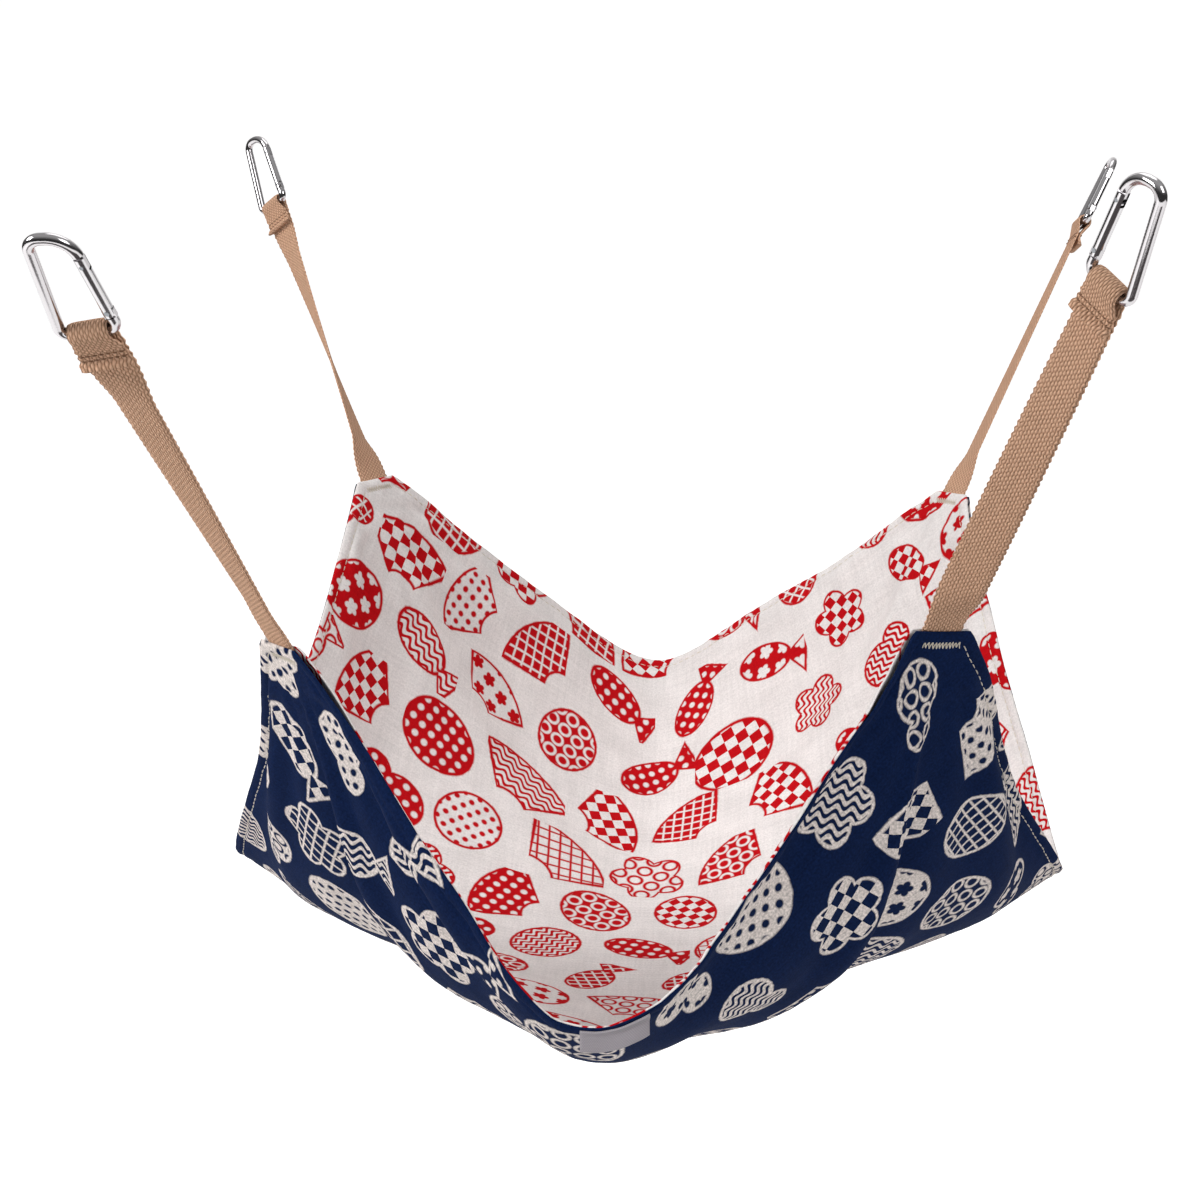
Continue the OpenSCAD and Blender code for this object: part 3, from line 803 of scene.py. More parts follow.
@dataclass
class HungSheet:
    """The settled sheet: a grid of places that can be read anywhere between its lines."""

    form: HungForm
    grid: Array

    def at(self, flat: Array) -> Array:
        """Places of flat places, smooth between the grid's points.

        Args:
            flat: X and Y on the flat sheet along the last axis.

        Returns:
            Places in millimetres in the part's frame.
        """
        rows, cols, _ = self.grid.shape
        gx = (flat[..., 0] / self.form.width + 0.5) * (cols - 1)
        gy = (flat[..., 1] / self.form.depth + 0.5) * (rows - 1)
        ix = np.clip(np.floor(gx).astype(int), 0, cols - 2)
        iy = np.clip(np.floor(gy).astype(int), 0, rows - 2)

        def weights(t: Array) -> list[Array]:
            """Shares of four neighbouring points at a place between the middle two."""
            return [((2 - t) * t - 1) * t / 2, ((3 * t - 5) * t * t + 2) / 2,
                    ((4 - 3 * t) * t + 1) * t / 2, (t - 1) * t * t / 2]

        wx, wy = weights(gx - ix), weights(gy - iy)
        total = np.zeros(flat.shape[:-1] + (3,))
        for j in range(4):
            for i in range(4):
                jj, ii = np.clip(iy + j - 1, 0, rows - 1), np.clip(ix + i - 1, 0, cols - 1)
                total += (wy[j] * wx[i])[..., None] * self.grid[jj, ii]
        return total

    def normal(self, flat: Array, step: float = 1.5) -> Array:
        """Finds directions square to the sheet, towards the lining.

        Args:
            flat: X and Y on the flat sheet along the last axis.
            step: distance either way over which the slope is taken.

        Returns:
            Vectors of length one.
        """
        limit = self.form.half
        dx, dy = [self.at(np.minimum(flat + d, limit)) - self.at(np.maximum(flat - d, -limit))
                  for d in np.array([[step, 0.0], [0.0, step]])]
        return unit(np.cross(dx, dy))

    def cut_middle(self, corner: Corner) -> Array:
        """Flat place of the middle of a cut corner."""
        return corner.sign * (self.form.half - self.form.cut_leg / 2)

    def cut_frame(self, corner: Corner) -> tuple[Array, Array, Array]:
        """Seam of a cut corner.

        Args:
            corner: which corner.

        Returns:
            Its middle, the direction along it and the direction out of the sheet, square to it.
        """
        half, leg = self.form.half, self.form.cut_leg
        sx, sy = corner.sign
        ends = self.at(np.array([[sx * half[0], sy * (half[1] - leg)], [sx * (half[0] - leg), sy * half[1]]]))
        along = unit(ends[0] - ends[1]) * sx * sy
        middle = self.at(self.cut_middle(corner))
        out = middle - self.at(corner.sign * (half - leg))
        return middle, along, unit(out - along * (out @ along))


@dataclass(frozen=True)
class Reach:
    """Distances from a corner at which its folds come in and fade, and the lengths over which they do."""

    start: float
    coming: float
    end: float
    fading: float

    def share(self, r: Array) -> Array:
        """Share of the folds' depth at distances from the corner."""
        return ease((r - self.start) / self.coming) * ease((self.end - r) / self.fading)


@dataclass
class Sling:
    """The lined sheet: its drape, two layers, top stitching and corner tacks."""

    form: HungForm = HungForm()
    # Cells of the sheet that is let settle, and the furthest that a point may move from the form
    settle_cells: tuple[int, int] = (90, 106)
    settle_frames: int = 24
    settle_cap: float = 9.0
    # Hold on the settling cloth: the least, and the distances from a tip at which it is whole and fades
    hold_least: float = 0.16
    hold_full: float = 28.0
    hold_fade: float = 20.0
    # Spacing of the finished layers' lines, and of those along the edges
    line_step: float = 3.1
    edge_lines: tuple[float, ...] = (0.0, 0.5, 1.2, 2.2, 3.4, 4.6, 5.5, 6.4, 7.8, 10.0)
    layer_gap: float = 0.1
    cloth_t: float = 0.75
    # Rolled edge: thickness at the very edge, more at its crown, and its width
    roll_edge: float = 0.25
    roll_crown: float = 1.15
    roll_width: float = 4.0
    # Where the roll gives way to flat cloth, from the edge, and over what length
    flat_from: float = 3.0
    flat_over: float = 8.0
    # Groove that the stitching pulls, the puckers beside it, and the least thickness left
    groove: float = 0.85
    groove_width: float = 1.0
    pucker: float = 0.3
    pucker_width: float = 5.0
    # Slant of the puckers, so that they show along every edge, then share, pace and shift of their waves
    pucker_slant: tuple[float, float] = (0.61, 0.57)
    pucker_waves: tuple[tuple[float, float, float], ...] = ((0.6, 1.0, 0.0), (1.0, 0.43, 1.7))
    least_t: float = 0.22
    stitch_inset: float = 5.5
    stitch_pitch: float = 4.2
    stitch_len: float = 3.1
    # How far a stitch stands off the cloth along its length; its ends are sunk
    stitch_bow: tuple[float, ...] = (-0.2, 0.12, 0.2, 0.12, -0.2)
    thread_d: float = 0.55
    # Bar tacks at the corners: distance below the cut, half length, height and pitch of their zigzag
    tack_down: float = 5.4
    tack_reach: float = 8.6
    tack_height: float = 3.0
    tack_pitch: float = 1.7
    # Pocket between the layers for the sewn-in end of a strap
    pocket_depth: float = 0.95
    pocket_full: float = 38.0
    pocket_fade: float = 34.0
    map_span: float = 600.0
    # Soft folds that run in from each corner: angle of the first from the front or back edge, spacing, depth
    fold_angle: tuple[float, ...] = (46.0, 43.0, 40.0, 38.0)
    fold_pitch: tuple[float, ...] = (35.0, 40.0, 36.0, 38.0)
    fold_depth: tuple[float, ...] = (4.2, 5.4, 3.2, 3.2)
    # Shares of the waves of one, two and three times a fold's pitch, which make it uneven
    fold_waves: tuple[float, ...] = (1.0, 0.42, 0.12)
    fold_reach: Reach = Reach(24.0, 100.0, 285.0, 130.0)
    # Fine gathers at the seams: depth, then waves to the turn, shift from corner to corner, share
    gather_depth: float = 0.8
    gathers: tuple[tuple[float, float, float], ...] = ((29.0, 40.0, 1.0), (47.0, 95.0, 0.6))
    gather_reach: Reach = Reach(18.0, 16.0, 120.0, 70.0)
    # Small creases between the folds: depth, waves to the turn, shift, roundness of their bottoms
    crease_depth: float = 3.0
    crease_waves: float = 10.0
    crease_shift: float = 70.0
    crease_round: float = 0.04
    crease_reach: Reach = Reach(45.0, 70.0, 250.0, 120.0)
    # How the creases wander: degrees aside, length of the sway, shift from corner to corner
    crease_sway: tuple[tuple[float, float, float], ...] = ((4.5, 38.0, 2.0), (2.0, 17.0, 1.0))
    # Height that the front edge draws up by, where beside its middle, and how far round
    rim_lift: float = 7.0
    rim_place: float = 17.0
    rim_reach: float = 24.0
    # How the weight draws the front edge off the even form: flat place along it, then aside and up
    rim_draw: tuple[tuple[float, float, float], ...] = (
        (-150.0, 0.0, 0.0), (-110.0, -1.0, -0.6), (-70.0, -1.9, -1.4), (-40.0, -2.4, -2.3),
        (-26.0, -2.4, -3.2), (-10.0, -0.7, 0.0), (5.0, -0.7, 1.8), (20.0, -1.8, 1.9), (40.0, -5.5, 4.1),
        (58.0, -7.0, 5.2), (80.0, -5.4, 4.1), (105.0, -3.3, 2.2), (132.0, 0.0, 0.0), (168.0, 4.4, -3.0),
        (185.0, 3.8, -2.2), (205.0, 0.0, 0.0))
    rim_draw_reach: float = 70.0
    # Slack of the belly: flat place along the front edge and in from it, height and reach
    belly_slack: tuple[tuple[float, float, float, float], ...] = (
        (20.0, 92.0, 8.0, 34.0), (-22.0, 66.0, -4.0, 25.0), (84.0, 116.0, 5.0, 26.0))

    def folds(self, flat: Array) -> Array:
        """Depth of the folds, gathers and creases that the pull of the corners makes.

        Args:
            flat: X and Y on the flat sheet along the last axis.

        Returns:
            Distance that each place moves towards the outer side.
        """
        height = np.zeros(flat.shape[:-1])
        for n, corner in enumerate(Corner):
            arm = self.form.half - corner.sign * flat
            r = np.linalg.norm(arm, axis=-1)
            angle = np.degrees(np.arctan2(arm[..., 1], arm[..., 0]))
            turn = np.radians((self.fold_angle[n] - angle) * 360 / self.fold_pitch[n])
            wide = sum(share * np.sin(k * turn) for k, share in enumerate(self.fold_waves, 1))
            height += self.fold_depth[n] * wide * self.fold_reach.share(r)
            fine = sum(share * np.sin(np.radians(angle * k + shift * n)) for k, shift, share in self.gathers)
            height += self.gather_depth * fine * self.gather_reach.share(r)
            wander = angle + sum(a * np.sin(r / length + shift * n) for a, length, shift in self.crease_sway)
            wave = np.sin(np.radians(wander * self.crease_waves + self.crease_shift * n))
            creases = np.sqrt(wave ** 2 + self.crease_round)
            height += self.crease_depth * creases * self.crease_reach.share(r)
        return height

    def creased(self, flat: Array, places: Array) -> HungSheet:
        """Gives the settled sheet its folds, drawn front edge and slack belly.

        Args:
            flat: X and Y of the sheet's grid along the last axis.
            places: where they settled.

        Returns:
            The finished sheet.
        """
        smooth = HungSheet(self.form, places)
        folded = places - smooth.normal(flat) * self.folds(flat)[..., None]
        along, inward = flat[..., 0], flat[..., 1] + self.form.half[1]
        near = np.exp(-(inward / self.rim_draw_reach) ** 2)
        stops, drawn_aside, drawn_up = np.array(self.rim_draw).T
        folded[..., 0] += np.interp(along, stops, drawn_aside) * near
        folded[..., 2] += np.interp(along, stops, drawn_up) * near
        lifts = ((self.rim_place, 0.0, self.rim_lift, self.rim_reach), *self.belly_slack)
        for x, y, height, reach in lifts:
            folded[..., 2] += height * np.exp(-((along - x) ** 2 + (inward - y) ** 2) / reach ** 2)
        return HungSheet(self.form, folded)

    def settle(self, shift: Array) -> HungSheet:
        """Lets the flat cut find its folds in the hung form, as cloth.

        Args:
            shift: from the form's own origin to the part's.

        Returns:
            The settled sheet in the part's frame.
        """
        cols, rows = self.settle_cells[0] + 1, self.settle_cells[1] + 1
        flat = self.form.flat_grid(cols, rows)
        start = self.form.points(flat)
        sheet = mesh_piece("settling_sheet", start.reshape(-1, 3), grid_faces(rows, cols).tolist())
        sheet.shape_key_add(name="hung", from_mix=False)
        cut = sheet.shape_key_add(name="cut", from_mix=False)
        level = np.concatenate([flat, np.zeros(flat.shape[:2] + (1,))], -1) * MM
        cut.data.foreach_set("co", level.astype(np.float32).ravel())
        held = ease((self.hold_full + self.hold_fade - self.form.from_tip(flat)) / self.hold_fade)
        group = sheet.vertex_groups.new(name="held")
        for n, weight in enumerate(mix(self.hold_least, 1.0, held).ravel().tolist()):
            group.add([n], weight, "REPLACE")
        cloth = sheet.modifiers.new("settle", "CLOTH")
        # Light cotton, stiff in its plane and limp across it
        rules = {"quality": 7, "mass": 0.02, "tension_stiffness": 30.0, "compression_stiffness": 30.0,
                 "shear_stiffness": 6.0, "bending_stiffness": 0.25, "air_damping": 3.0,
                 "vertex_group_mass": group.name, "pin_stiffness": 1.0, "rest_shape_key": cut}
        for name, value in rules.items():
            setattr(cloth.settings, name, value)
        cloth.settings.effector_weights.gravity = 0.6
        cloth.collision_settings.use_collision = False
        cloth.point_cache.frame_start = 1
        cloth.point_cache.frame_end = self.settle_frames
        for frame in range(1, self.settle_frames + 1):
            bpy.context.scene.frame_set(frame)
        settled = sheet.evaluated_get(bpy.context.evaluated_depsgraph_get()).to_mesh()
        places = np.zeros(len(settled.vertices) * 3, np.float32)
        settled.vertices.foreach_get("co", places)
        bpy.context.scene.frame_set(1)
        bpy.data.objects.remove(sheet)
        move = places.reshape(start.shape).astype(float) / MM - start
        far = np.linalg.norm(move, axis=-1, keepdims=True)
        LOG.info("cloth settled by %.1f mm on average, %.1f mm at most", far.mean(), far.max())
        move *= np.minimum(1.0, self.settle_cap * np.tanh(far / self.settle_cap) / np.maximum(far, 1e-6))
        return self.creased(flat, start + move + shift)

    def flat_lines(self, half: float) -> Array:
        """Spaces a layer's lines across one side of the flat sheet, closely near its edges.

        Args:
            half: half the length of that side.

        Returns:
            Place of each line from the middle.
        """
        inner = half - self.edge_lines[-1]
        count = int(round(2 * inner / self.line_step))
        middle = np.linspace(-inner, inner, count + 1)
        edge = half - np.array(self.edge_lines[:-1])
        return np.concatenate([-edge, middle, edge[::-1]])

    def flat_grid(self) -> Array:
        """Lays out a layer's points, with the corners drawn in to their cuts.

        Returns:
            Rows of flat places.
        """
        hx, hy = self.form.half
        flat = np.stack(np.meshgrid(self.flat_lines(hx), self.flat_lines(hy)), -1)
        past = np.clip(np.abs(flat) - (self.form.half - self.form.cut_leg), 0, None)
        a, b = past[..., 0], past[..., 1]
        share = np.where((a > 0) & (b > 0), np.maximum(a, b) / np.maximum(a + b, 1e-9), 1.0)
        return flat - np.sign(flat) * past * (1 - share)[..., None]

    def from_edge(self, flat: Array) -> Array:
        """Finds how far flat places are from the nearest edge or cut.

        Args:
            flat: X and Y on the flat sheet along the last axis.

        Returns:
            Their distances.
        """
        gap = self.form.half - np.abs(flat)
        cut = (gap.sum(-1) - self.form.cut_leg) / math.sqrt(2)
        return np.minimum(np.minimum(gap[..., 0], gap[..., 1]), cut)

    def parting(self, flat: Array) -> Array:
        """Distance of a layer's hidden face from the middle of the sheet."""
        opened = ease((self.pocket_full + self.pocket_fade - self.form.from_tip(flat)) / self.pocket_fade)
        return self.layer_gap / 2 + self.pocket_depth * opened

    def loft(self, flat: Array) -> Array:
        """Finds how thick a layer is: a rolled edge, a sewn groove, then flat.

        Args:
            flat: X and Y on the flat sheet along the last axis.

        Returns:
            Distances of its visible face from its hidden one.
        """
        d = self.from_edge(flat)
        over = np.clip(d, 0, self.roll_width) / self.roll_width - 1
        roll = self.roll_edge + self.roll_crown * np.sqrt(np.clip(1 - over ** 2, 0, 1))
        from_seam = d - self.stitch_inset
        groove = self.groove * np.exp(-(from_seam / self.groove_width) ** 2)
        pucker = self.pucker * np.exp(-(from_seam / self.pucker_width) ** 2)
        run = flat[..., 0] * self.pucker_slant[0] + flat[..., 1] * self.pucker_slant[1]
        wave = sum(share * np.sin(run * pace + shift) for share, pace, shift in self.pucker_waves)
        settled = mix(roll, self.cloth_t, ease((d - self.flat_from) / self.flat_over))
        return np.maximum(settled - groove + pucker * wave, self.least_t)

    def layer(self, sheet: HungSheet, face: Face, name: str, material: Material, node: str) -> Piece:
        """Makes one cloth layer as a closed sheet.

        Args:
            sheet: the settled sheet.
            face: which layer.
            name: the piece's name.
            material: its finish.
            node: the solid that it stands for.

        Returns:
            The layer.
        """
        flat = self.flat_grid()
        middle, normal = sheet.at(flat), sheet.normal(flat)
        hidden = self.parting(flat)[..., None] * face.value
        shown = hidden + self.loft(flat)[..., None] * face.value
        sides = (shown, hidden) if face is Face.OUTER else (hidden, shown)
        points = np.concatenate([(middle + normal * side).reshape(-1, 3) for side in sides])
        uv = np.tile(flat.reshape(-1, 2) / self.map_span + 0.5, (2, 1))
        piece = mesh_piece(name, points, closed_grid_faces(*flat.shape[:2]), material, uv)
        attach(piece, BODY_SLING)
        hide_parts(node)
        return piece

    def face_point(self, sheet: HungSheet, flat: Array, face: Face, proud: Any = 0.0) -> Array:
        """Places on the visible face of a layer, a little proud of it."""
        height = self.parting(flat) + self.loft(flat) + proud
        return sheet.at(flat) + sheet.normal(flat) * (height * face.value)[..., None]

    def seam_lines(self) -> list[tuple[Array, Array]]:
        """Lays out the top stitching along the four edges, the front first.

        Returns:
            Flat ends of each run.
        """
        turn = self.stitch_inset * math.tan(math.pi / 8)
        x, y = self.form.half - self.stitch_inset
        cx, cy = self.form.half - self.form.cut_leg - turn
        ends = (((-cx, -y), (cx, -y)), ((x, -cy), (x, cy)), ((cx, y), (-cx, y)), ((-x, cy), (-x, -cy)))
        return [(np.array(start), np.array(end)) for start, end in ends]

    def tack_lines(self) -> list[tuple[Array, Array]]:
        """Lays out the zigzag stitches of the bar tacks that hold the straps' ends.

        Returns:
            Flat ends of each stitch.
        """
        lines = []
        for corner in Corner:
            out = corner.sign / math.sqrt(2)
            along = np.array([-out[1], out[0]])
            middle = corner.sign * (self.form.half - self.form.cut_leg / 2) - out * self.tack_down
            up, over = out * self.tack_height / 2, along * self.tack_pitch / 2
            for x in np.arange(-self.tack_reach, self.tack_reach, self.tack_pitch):
                foot = middle + along * x
                lines += [(foot - up, foot + up + over), (foot + up + over, foot - up + 2 * over)]
        return lines

    def stitching(self, sheet: HungSheet, face: Face, name: str, material: Material) -> Piece:
        """Makes the stitches that show on one layer, each a short sunk-ended run of thread.

        Args:
            sheet: the settled sheet.
            face: which layer they lie on.
            name: the piece's name.
            material: the thread's finish.

        Returns:
            One mesh of all the stitches.
        """
        runs: list[Array] = []
        bow = np.array(self.stitch_bow)
        # On the outer side the front edge is sewn in the cloth's own colour, which doesn't show
        shown = self.seam_lines()[1:] if face is Face.OUTER else self.seam_lines()
        for lines, pitch, length in ((shown, self.stitch_pitch, self.stitch_len),
                                     (self.tack_lines(), self.tack_height, self.tack_height)):
            for start, end in lines:
                run = np.linalg.norm(end - start)
                count = max(1, int(run / pitch))
                reach = length / 2 / run
                for n in range(count):
                    share = (n + 0.5) / count
                    ts = np.linspace(share - reach, share + reach, len(bow))
                    runs.append(self.face_point(sheet, start + (end - start) * ts[:, None], face, bow))
        piece = stitch_mesh(name, runs, self.thread_d / 2, material)
        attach(piece, BODY_SLING)
        return piece


def stitch_mesh(name: str, runs: Sequence[Array], radius: float, material: Material) -> Piece:
    """Makes one mesh of many short threads.

    Args:
        name: the piece's name.
        runs: points along each thread, the same number in each.
        radius: half the thread's thickness.
        material: the thread's finish.

    Returns:
        The piece, with its place in its mesh.
    """
    sides = 6
    # A direction that no thread runs along
    aside = np.array([0.31, 0.23, 0.92])
    turns = (np.arange(sides) * 2 * math.pi / sides)[:, None]
    points, faces = [], []
    for run in runs:
        way = unit(np.gradient(run, axis=0))
        side = unit(np.cross(way, aside))
        up = np.cross(side, way)
        ring = run[:, None] + radius * (side[:, None] * np.cos(turns) + up[:, None] * np.sin(turns))
        base = len(points) * len(run) * sides
        faces += [[i + base for i in f] for f in tube_faces(len(run), sides)]
        points.append(ring.reshape(-1, 3))
    return mesh_piece(name, np.concatenate(points), faces, material)


@dataclass
class Strap:
    """One webbing strap: sewn-in end, free run with its turn, loop round the hook's base, and tail."""

    corner: Corner
    root: Array
    bar: Array
    bar_way: Array
    # Turns about its own length in degrees: quickly at the seam, evenly above it, and just below the loop
    kink: float
    turn: float
    curl: float = 0.0
    kink_share: float = 0.16
    curl_share: float = 0.14
    # Share of the free run over which the width leaves the seam's direction, and length of the bend there
    seam_share: float = 1 / 6
    seam_bend: float = 20.0
    width: float = 18.4
    thick: float = 1.7
    # Fine rounding of the edges: share of the thickness that they lose, and how late
    edge_loss: float = 0.6
    edge_power: int = 8
    sewn: float = 14.0
    tail: float = 15.0
    # The end of the tail: its spread width, its lift off the strap and over what length, and its cut lip
    tail_width: float = 20.0
    tail_lift: float = 1.9
    tail_bend: float = 3.6
    tail_lip: float = 0.8
    lip_length: float = 1.4
    ply_gap: float = 0.05
    loop_drop: float = 8.5
    loop_width: float = 15.0
    rod_d: float = 4.4
    # Straight part of the hook's base, and the bends at its ends that the loop's edges ride up
    base_run: float = 13.4
    base_bend: float = 3.6
    eye_gap: float = 0.35
    ring_step: float = 0.8
    # Height and pitch of the small steps that the weft makes along both edges
    serration: float = 0.34
    weft_pitch: float = 3.2
    columns: int = 11
    # Stitches of the loop: their rows' distances below the base, spacing, half length, half thickness,
    # how far they stand off the webbing along their length, and the range of their middles in a row
    stitch_rows: tuple[float, ...] = (9.4, 11.6)
    stitch_pitch: float = 2.53
    stitch_reach: float = 1.05
    stitch_r: float = 0.3
    stitch_bow: tuple[float, ...] = (-0.47, 0.13, 0.21, 0.13, -0.47)
    row_start: float = -7.6
    row_end: float = 7.7
    # Distances from the seam at which the webbing still follows the sling, and wholly follows the strap
    blend_from: float = 2.0
    blend_to: float = 6.0
    # Rings of the folded end, of each side of the loop, of its round part and of the tail
    ply_rings: int = 9
    rise_rings: int = 12
    eye_rings: int = 40
    tail_rings: int = 13
    # Distances from the loop's foot and below the base's middle between which the loop narrows
    pinch_from: float = 0.5
    pinch_full: float = 1.0
    map_span: float = 300.0

    @property
    def way(self) -> Array:
        """Direction from the seam to the hook."""
        return unit(self.bar - self.root)

    @property
    def outward(self) -> Array:
        """Direction square to the loop's face, on the tail's side."""
        return np.cross(self.way, self.bar_way)

    def _run(self, sheet: HungSheet) -> tuple[Array, Array]:
        """Middle line of the webbing from its sewn-in end to the loop.

        Args:
            sheet: the settled sheet that it is sewn into.

        Returns:
            Places and directions of its width, for each ring.
        """
        middle, seam, out = sheet.cut_frame(self.corner)
        flat_out = self.corner.sign / math.sqrt(2)
        downs = np.arange(self.sewn, 0.2, -self.ring_step)
        pocket = sheet.at(sheet.cut_middle(self.corner) - flat_out * downs[:, None])
        lay = self.outward * self.thick / 2
        finish = self.bar - self.way * self.tail - lay
        run = np.linalg.norm(finish - middle)
        ts = np.linspace(0, 1, int(run / self.ring_step) + 1)
        start_way = unit(finish - middle)
        free = middle + (finish - middle) * ts[:, None]
        h = np.clip(ts * run / self.seam_bend, 0, 1)
        free += (unit(out + start_way) - start_way) * (h * (1 - h) ** 2 * self.seam_bend)[:, None]
        square = unit(seam - self.way * (seam @ self.way))
        turns = np.radians(self.kink * ease(ts / self.kink_share) + self.turn * ts
                           + self.curl * ease((ts - 1) / self.curl_share + 1))
        turned = spin(square, self.way, turns)
        across = unit(mix(seam, turned, np.clip(ts / self.seam_share, 0, 1)[:, None]))
        ply = self.bar - lay + self.way * np.linspace(-self.tail, -self.loop_drop, self.ply_rings)[1:, None]
        widths = [np.tile(seam, (len(pocket), 1)), across, np.tile(self.bar_way, (len(ply), 1))]
        return np.concatenate([pocket, free, ply]), np.concatenate(widths)

    def _loop(self, drops: Array) -> Array:
        """Outline of the loop round the hook's base.

        Args:
            drops: distances below the base of the tail's rings.

        Returns:
            Distances out from the base's middle and up along the strap, for each ring.
        """
        radius = self.rod_d / 2 + self.eye_gap + self.thick / 2
        foot = np.array([-self.thick / 2, -self.loop_drop])
        lean = math.acos(radius / np.linalg.norm(foot))
        first = math.atan2(foot[1], foot[0]) % (2 * math.pi) - lean
        angles = np.linspace(first, math.pi - first, self.eye_rings)
        eye = radius * np.stack([np.cos(angles), np.sin(angles)], -1)
        rise = mix(foot, eye[0], np.linspace(0, 1, self.rise_rings)[1:-1, None])
        fall = rise[::-1] * np.array([-1, 1])
        lift = self.tail_lift * ease((drops - self.tail) / self.tail_bend + 1)
        end = np.stack([self.thick / 2 + self.ply_gap + lift, -drops], -1)
        return np.concatenate([rise, eye, fall, end])

    def webbing(self, sheet: HungSheet, material: Material) -> Piece:
        """Makes the strap as one band of webbing from its sewn-in end to its tail.

        Args:
            sheet: the settled sheet.
            material: the webbing's finish.

        Returns:
            The strap.
        """
        run, run_across = self._run(sheet)
        drops = np.linspace(self.loop_drop, self.tail, self.tail_rings)
        loop = self._loop(drops)
        places = np.concatenate([run, self.bar + loop[:, :1] * self.outward + loop[:, 1:] * self.way])
        count = len(places)
        height = np.concatenate([np.full(len(run), -self.loop_drop), loop[:, 1]])
        # How far each ring is on the hook's base, where the webbing is drawn narrower
        narrowing = self.loop_drop - self.pinch_from - self.pinch_full
        on_base = ease((height + self.loop_drop - self.pinch_from) / narrowing)
        widths = mix(self.width, self.loop_width, on_base)
        spread = ease((drops - self.loop_drop) / (self.tail - self.loop_drop))
        widths[-len(drops):] += (self.tail_width - self.width) * spread
        half_thick = np.full(count, self.thick / 2)
        half_thick[-len(drops):] += self.tail_lip * np.exp(-((self.tail - drops) / self.lip_length) ** 2)

        along = unit(np.gradient(places, axis=0))
        up = unit(np.cross(along, np.concatenate([run_across, np.tile(self.bar_way, (len(loop), 1))])))
        across = unit(np.cross(up, along))
        length = np.concatenate([[0.0], np.cumsum(np.linalg.norm(np.diff(places, axis=0), axis=1))])
        steps = self.serration * (1 - on_base) * np.sin(2 * math.pi * length / self.weft_pitch)
        rings, maps = [], []
        for side in (1, -1):
            order = np.linspace(-1, 1, self.columns)[::side]
            rounded = half_thick[:, None] * (1 - self.edge_loss * np.abs(order) ** self.edge_power)
            reach = (widths / 2 + steps)[:, None] * order
            bent = np.clip(np.abs(reach) - self.base_run / 2, 0, None) / self.base_bend
            saddle = on_base[:, None] * self.base_bend * (1 - np.cos(bent))
            flat = places[:, None] + across[:, None] * reach[..., None] + self.way * saddle[..., None]
            rings.append(flat + up[:, None] * (side * rounded)[..., None])
            maps.append(np.stack(np.broadcast_arrays(order * self.width / 2, length[:, None]), -1))
        faces = [f[::-1] for f in tube_faces(count, 2 * self.columns)]
        piece = mesh_piece(f"webbing_{self.corner.label}", np.concatenate(rings, 1).reshape(-1, 3), faces,
                           material, np.concatenate(maps, 1).reshape(-1, 2) / self.map_span)
        middle, _, out = sheet.cut_frame(self.corner)
        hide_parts(f"strap_{self.corner.label}", f"strap_end_{self.corner.label}")
        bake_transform(piece)
        return piece

    def stitches(self, material: Material) -> Piece:
        """Makes the rows that sew the tail down, on both faces of the loop.

        Args:
            material: the thread's finish.

        Returns:
            One mesh of all the stitches.
        """
        runs = []
        bow = np.array(self.stitch_bow)
        for drop in self.stitch_rows:
            for side in (1, -1):
                height = side * (self.thick + bow)
                for x in np.arange(self.row_start, self.row_end, self.stitch_pitch):
                    xs = x + np.linspace(-self.stitch_reach, self.stitch_reach, len(bow))
                    runs.append(self.bar - self.way * drop + xs[:, None] * self.bar_way
                                + height[:, None] * self.outward)
        piece = stitch_mesh(f"loop_stitches_{self.corner.label}", runs, self.stitch_r, material)
        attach(piece, f"strap_{self.corner.label}")
        return piece


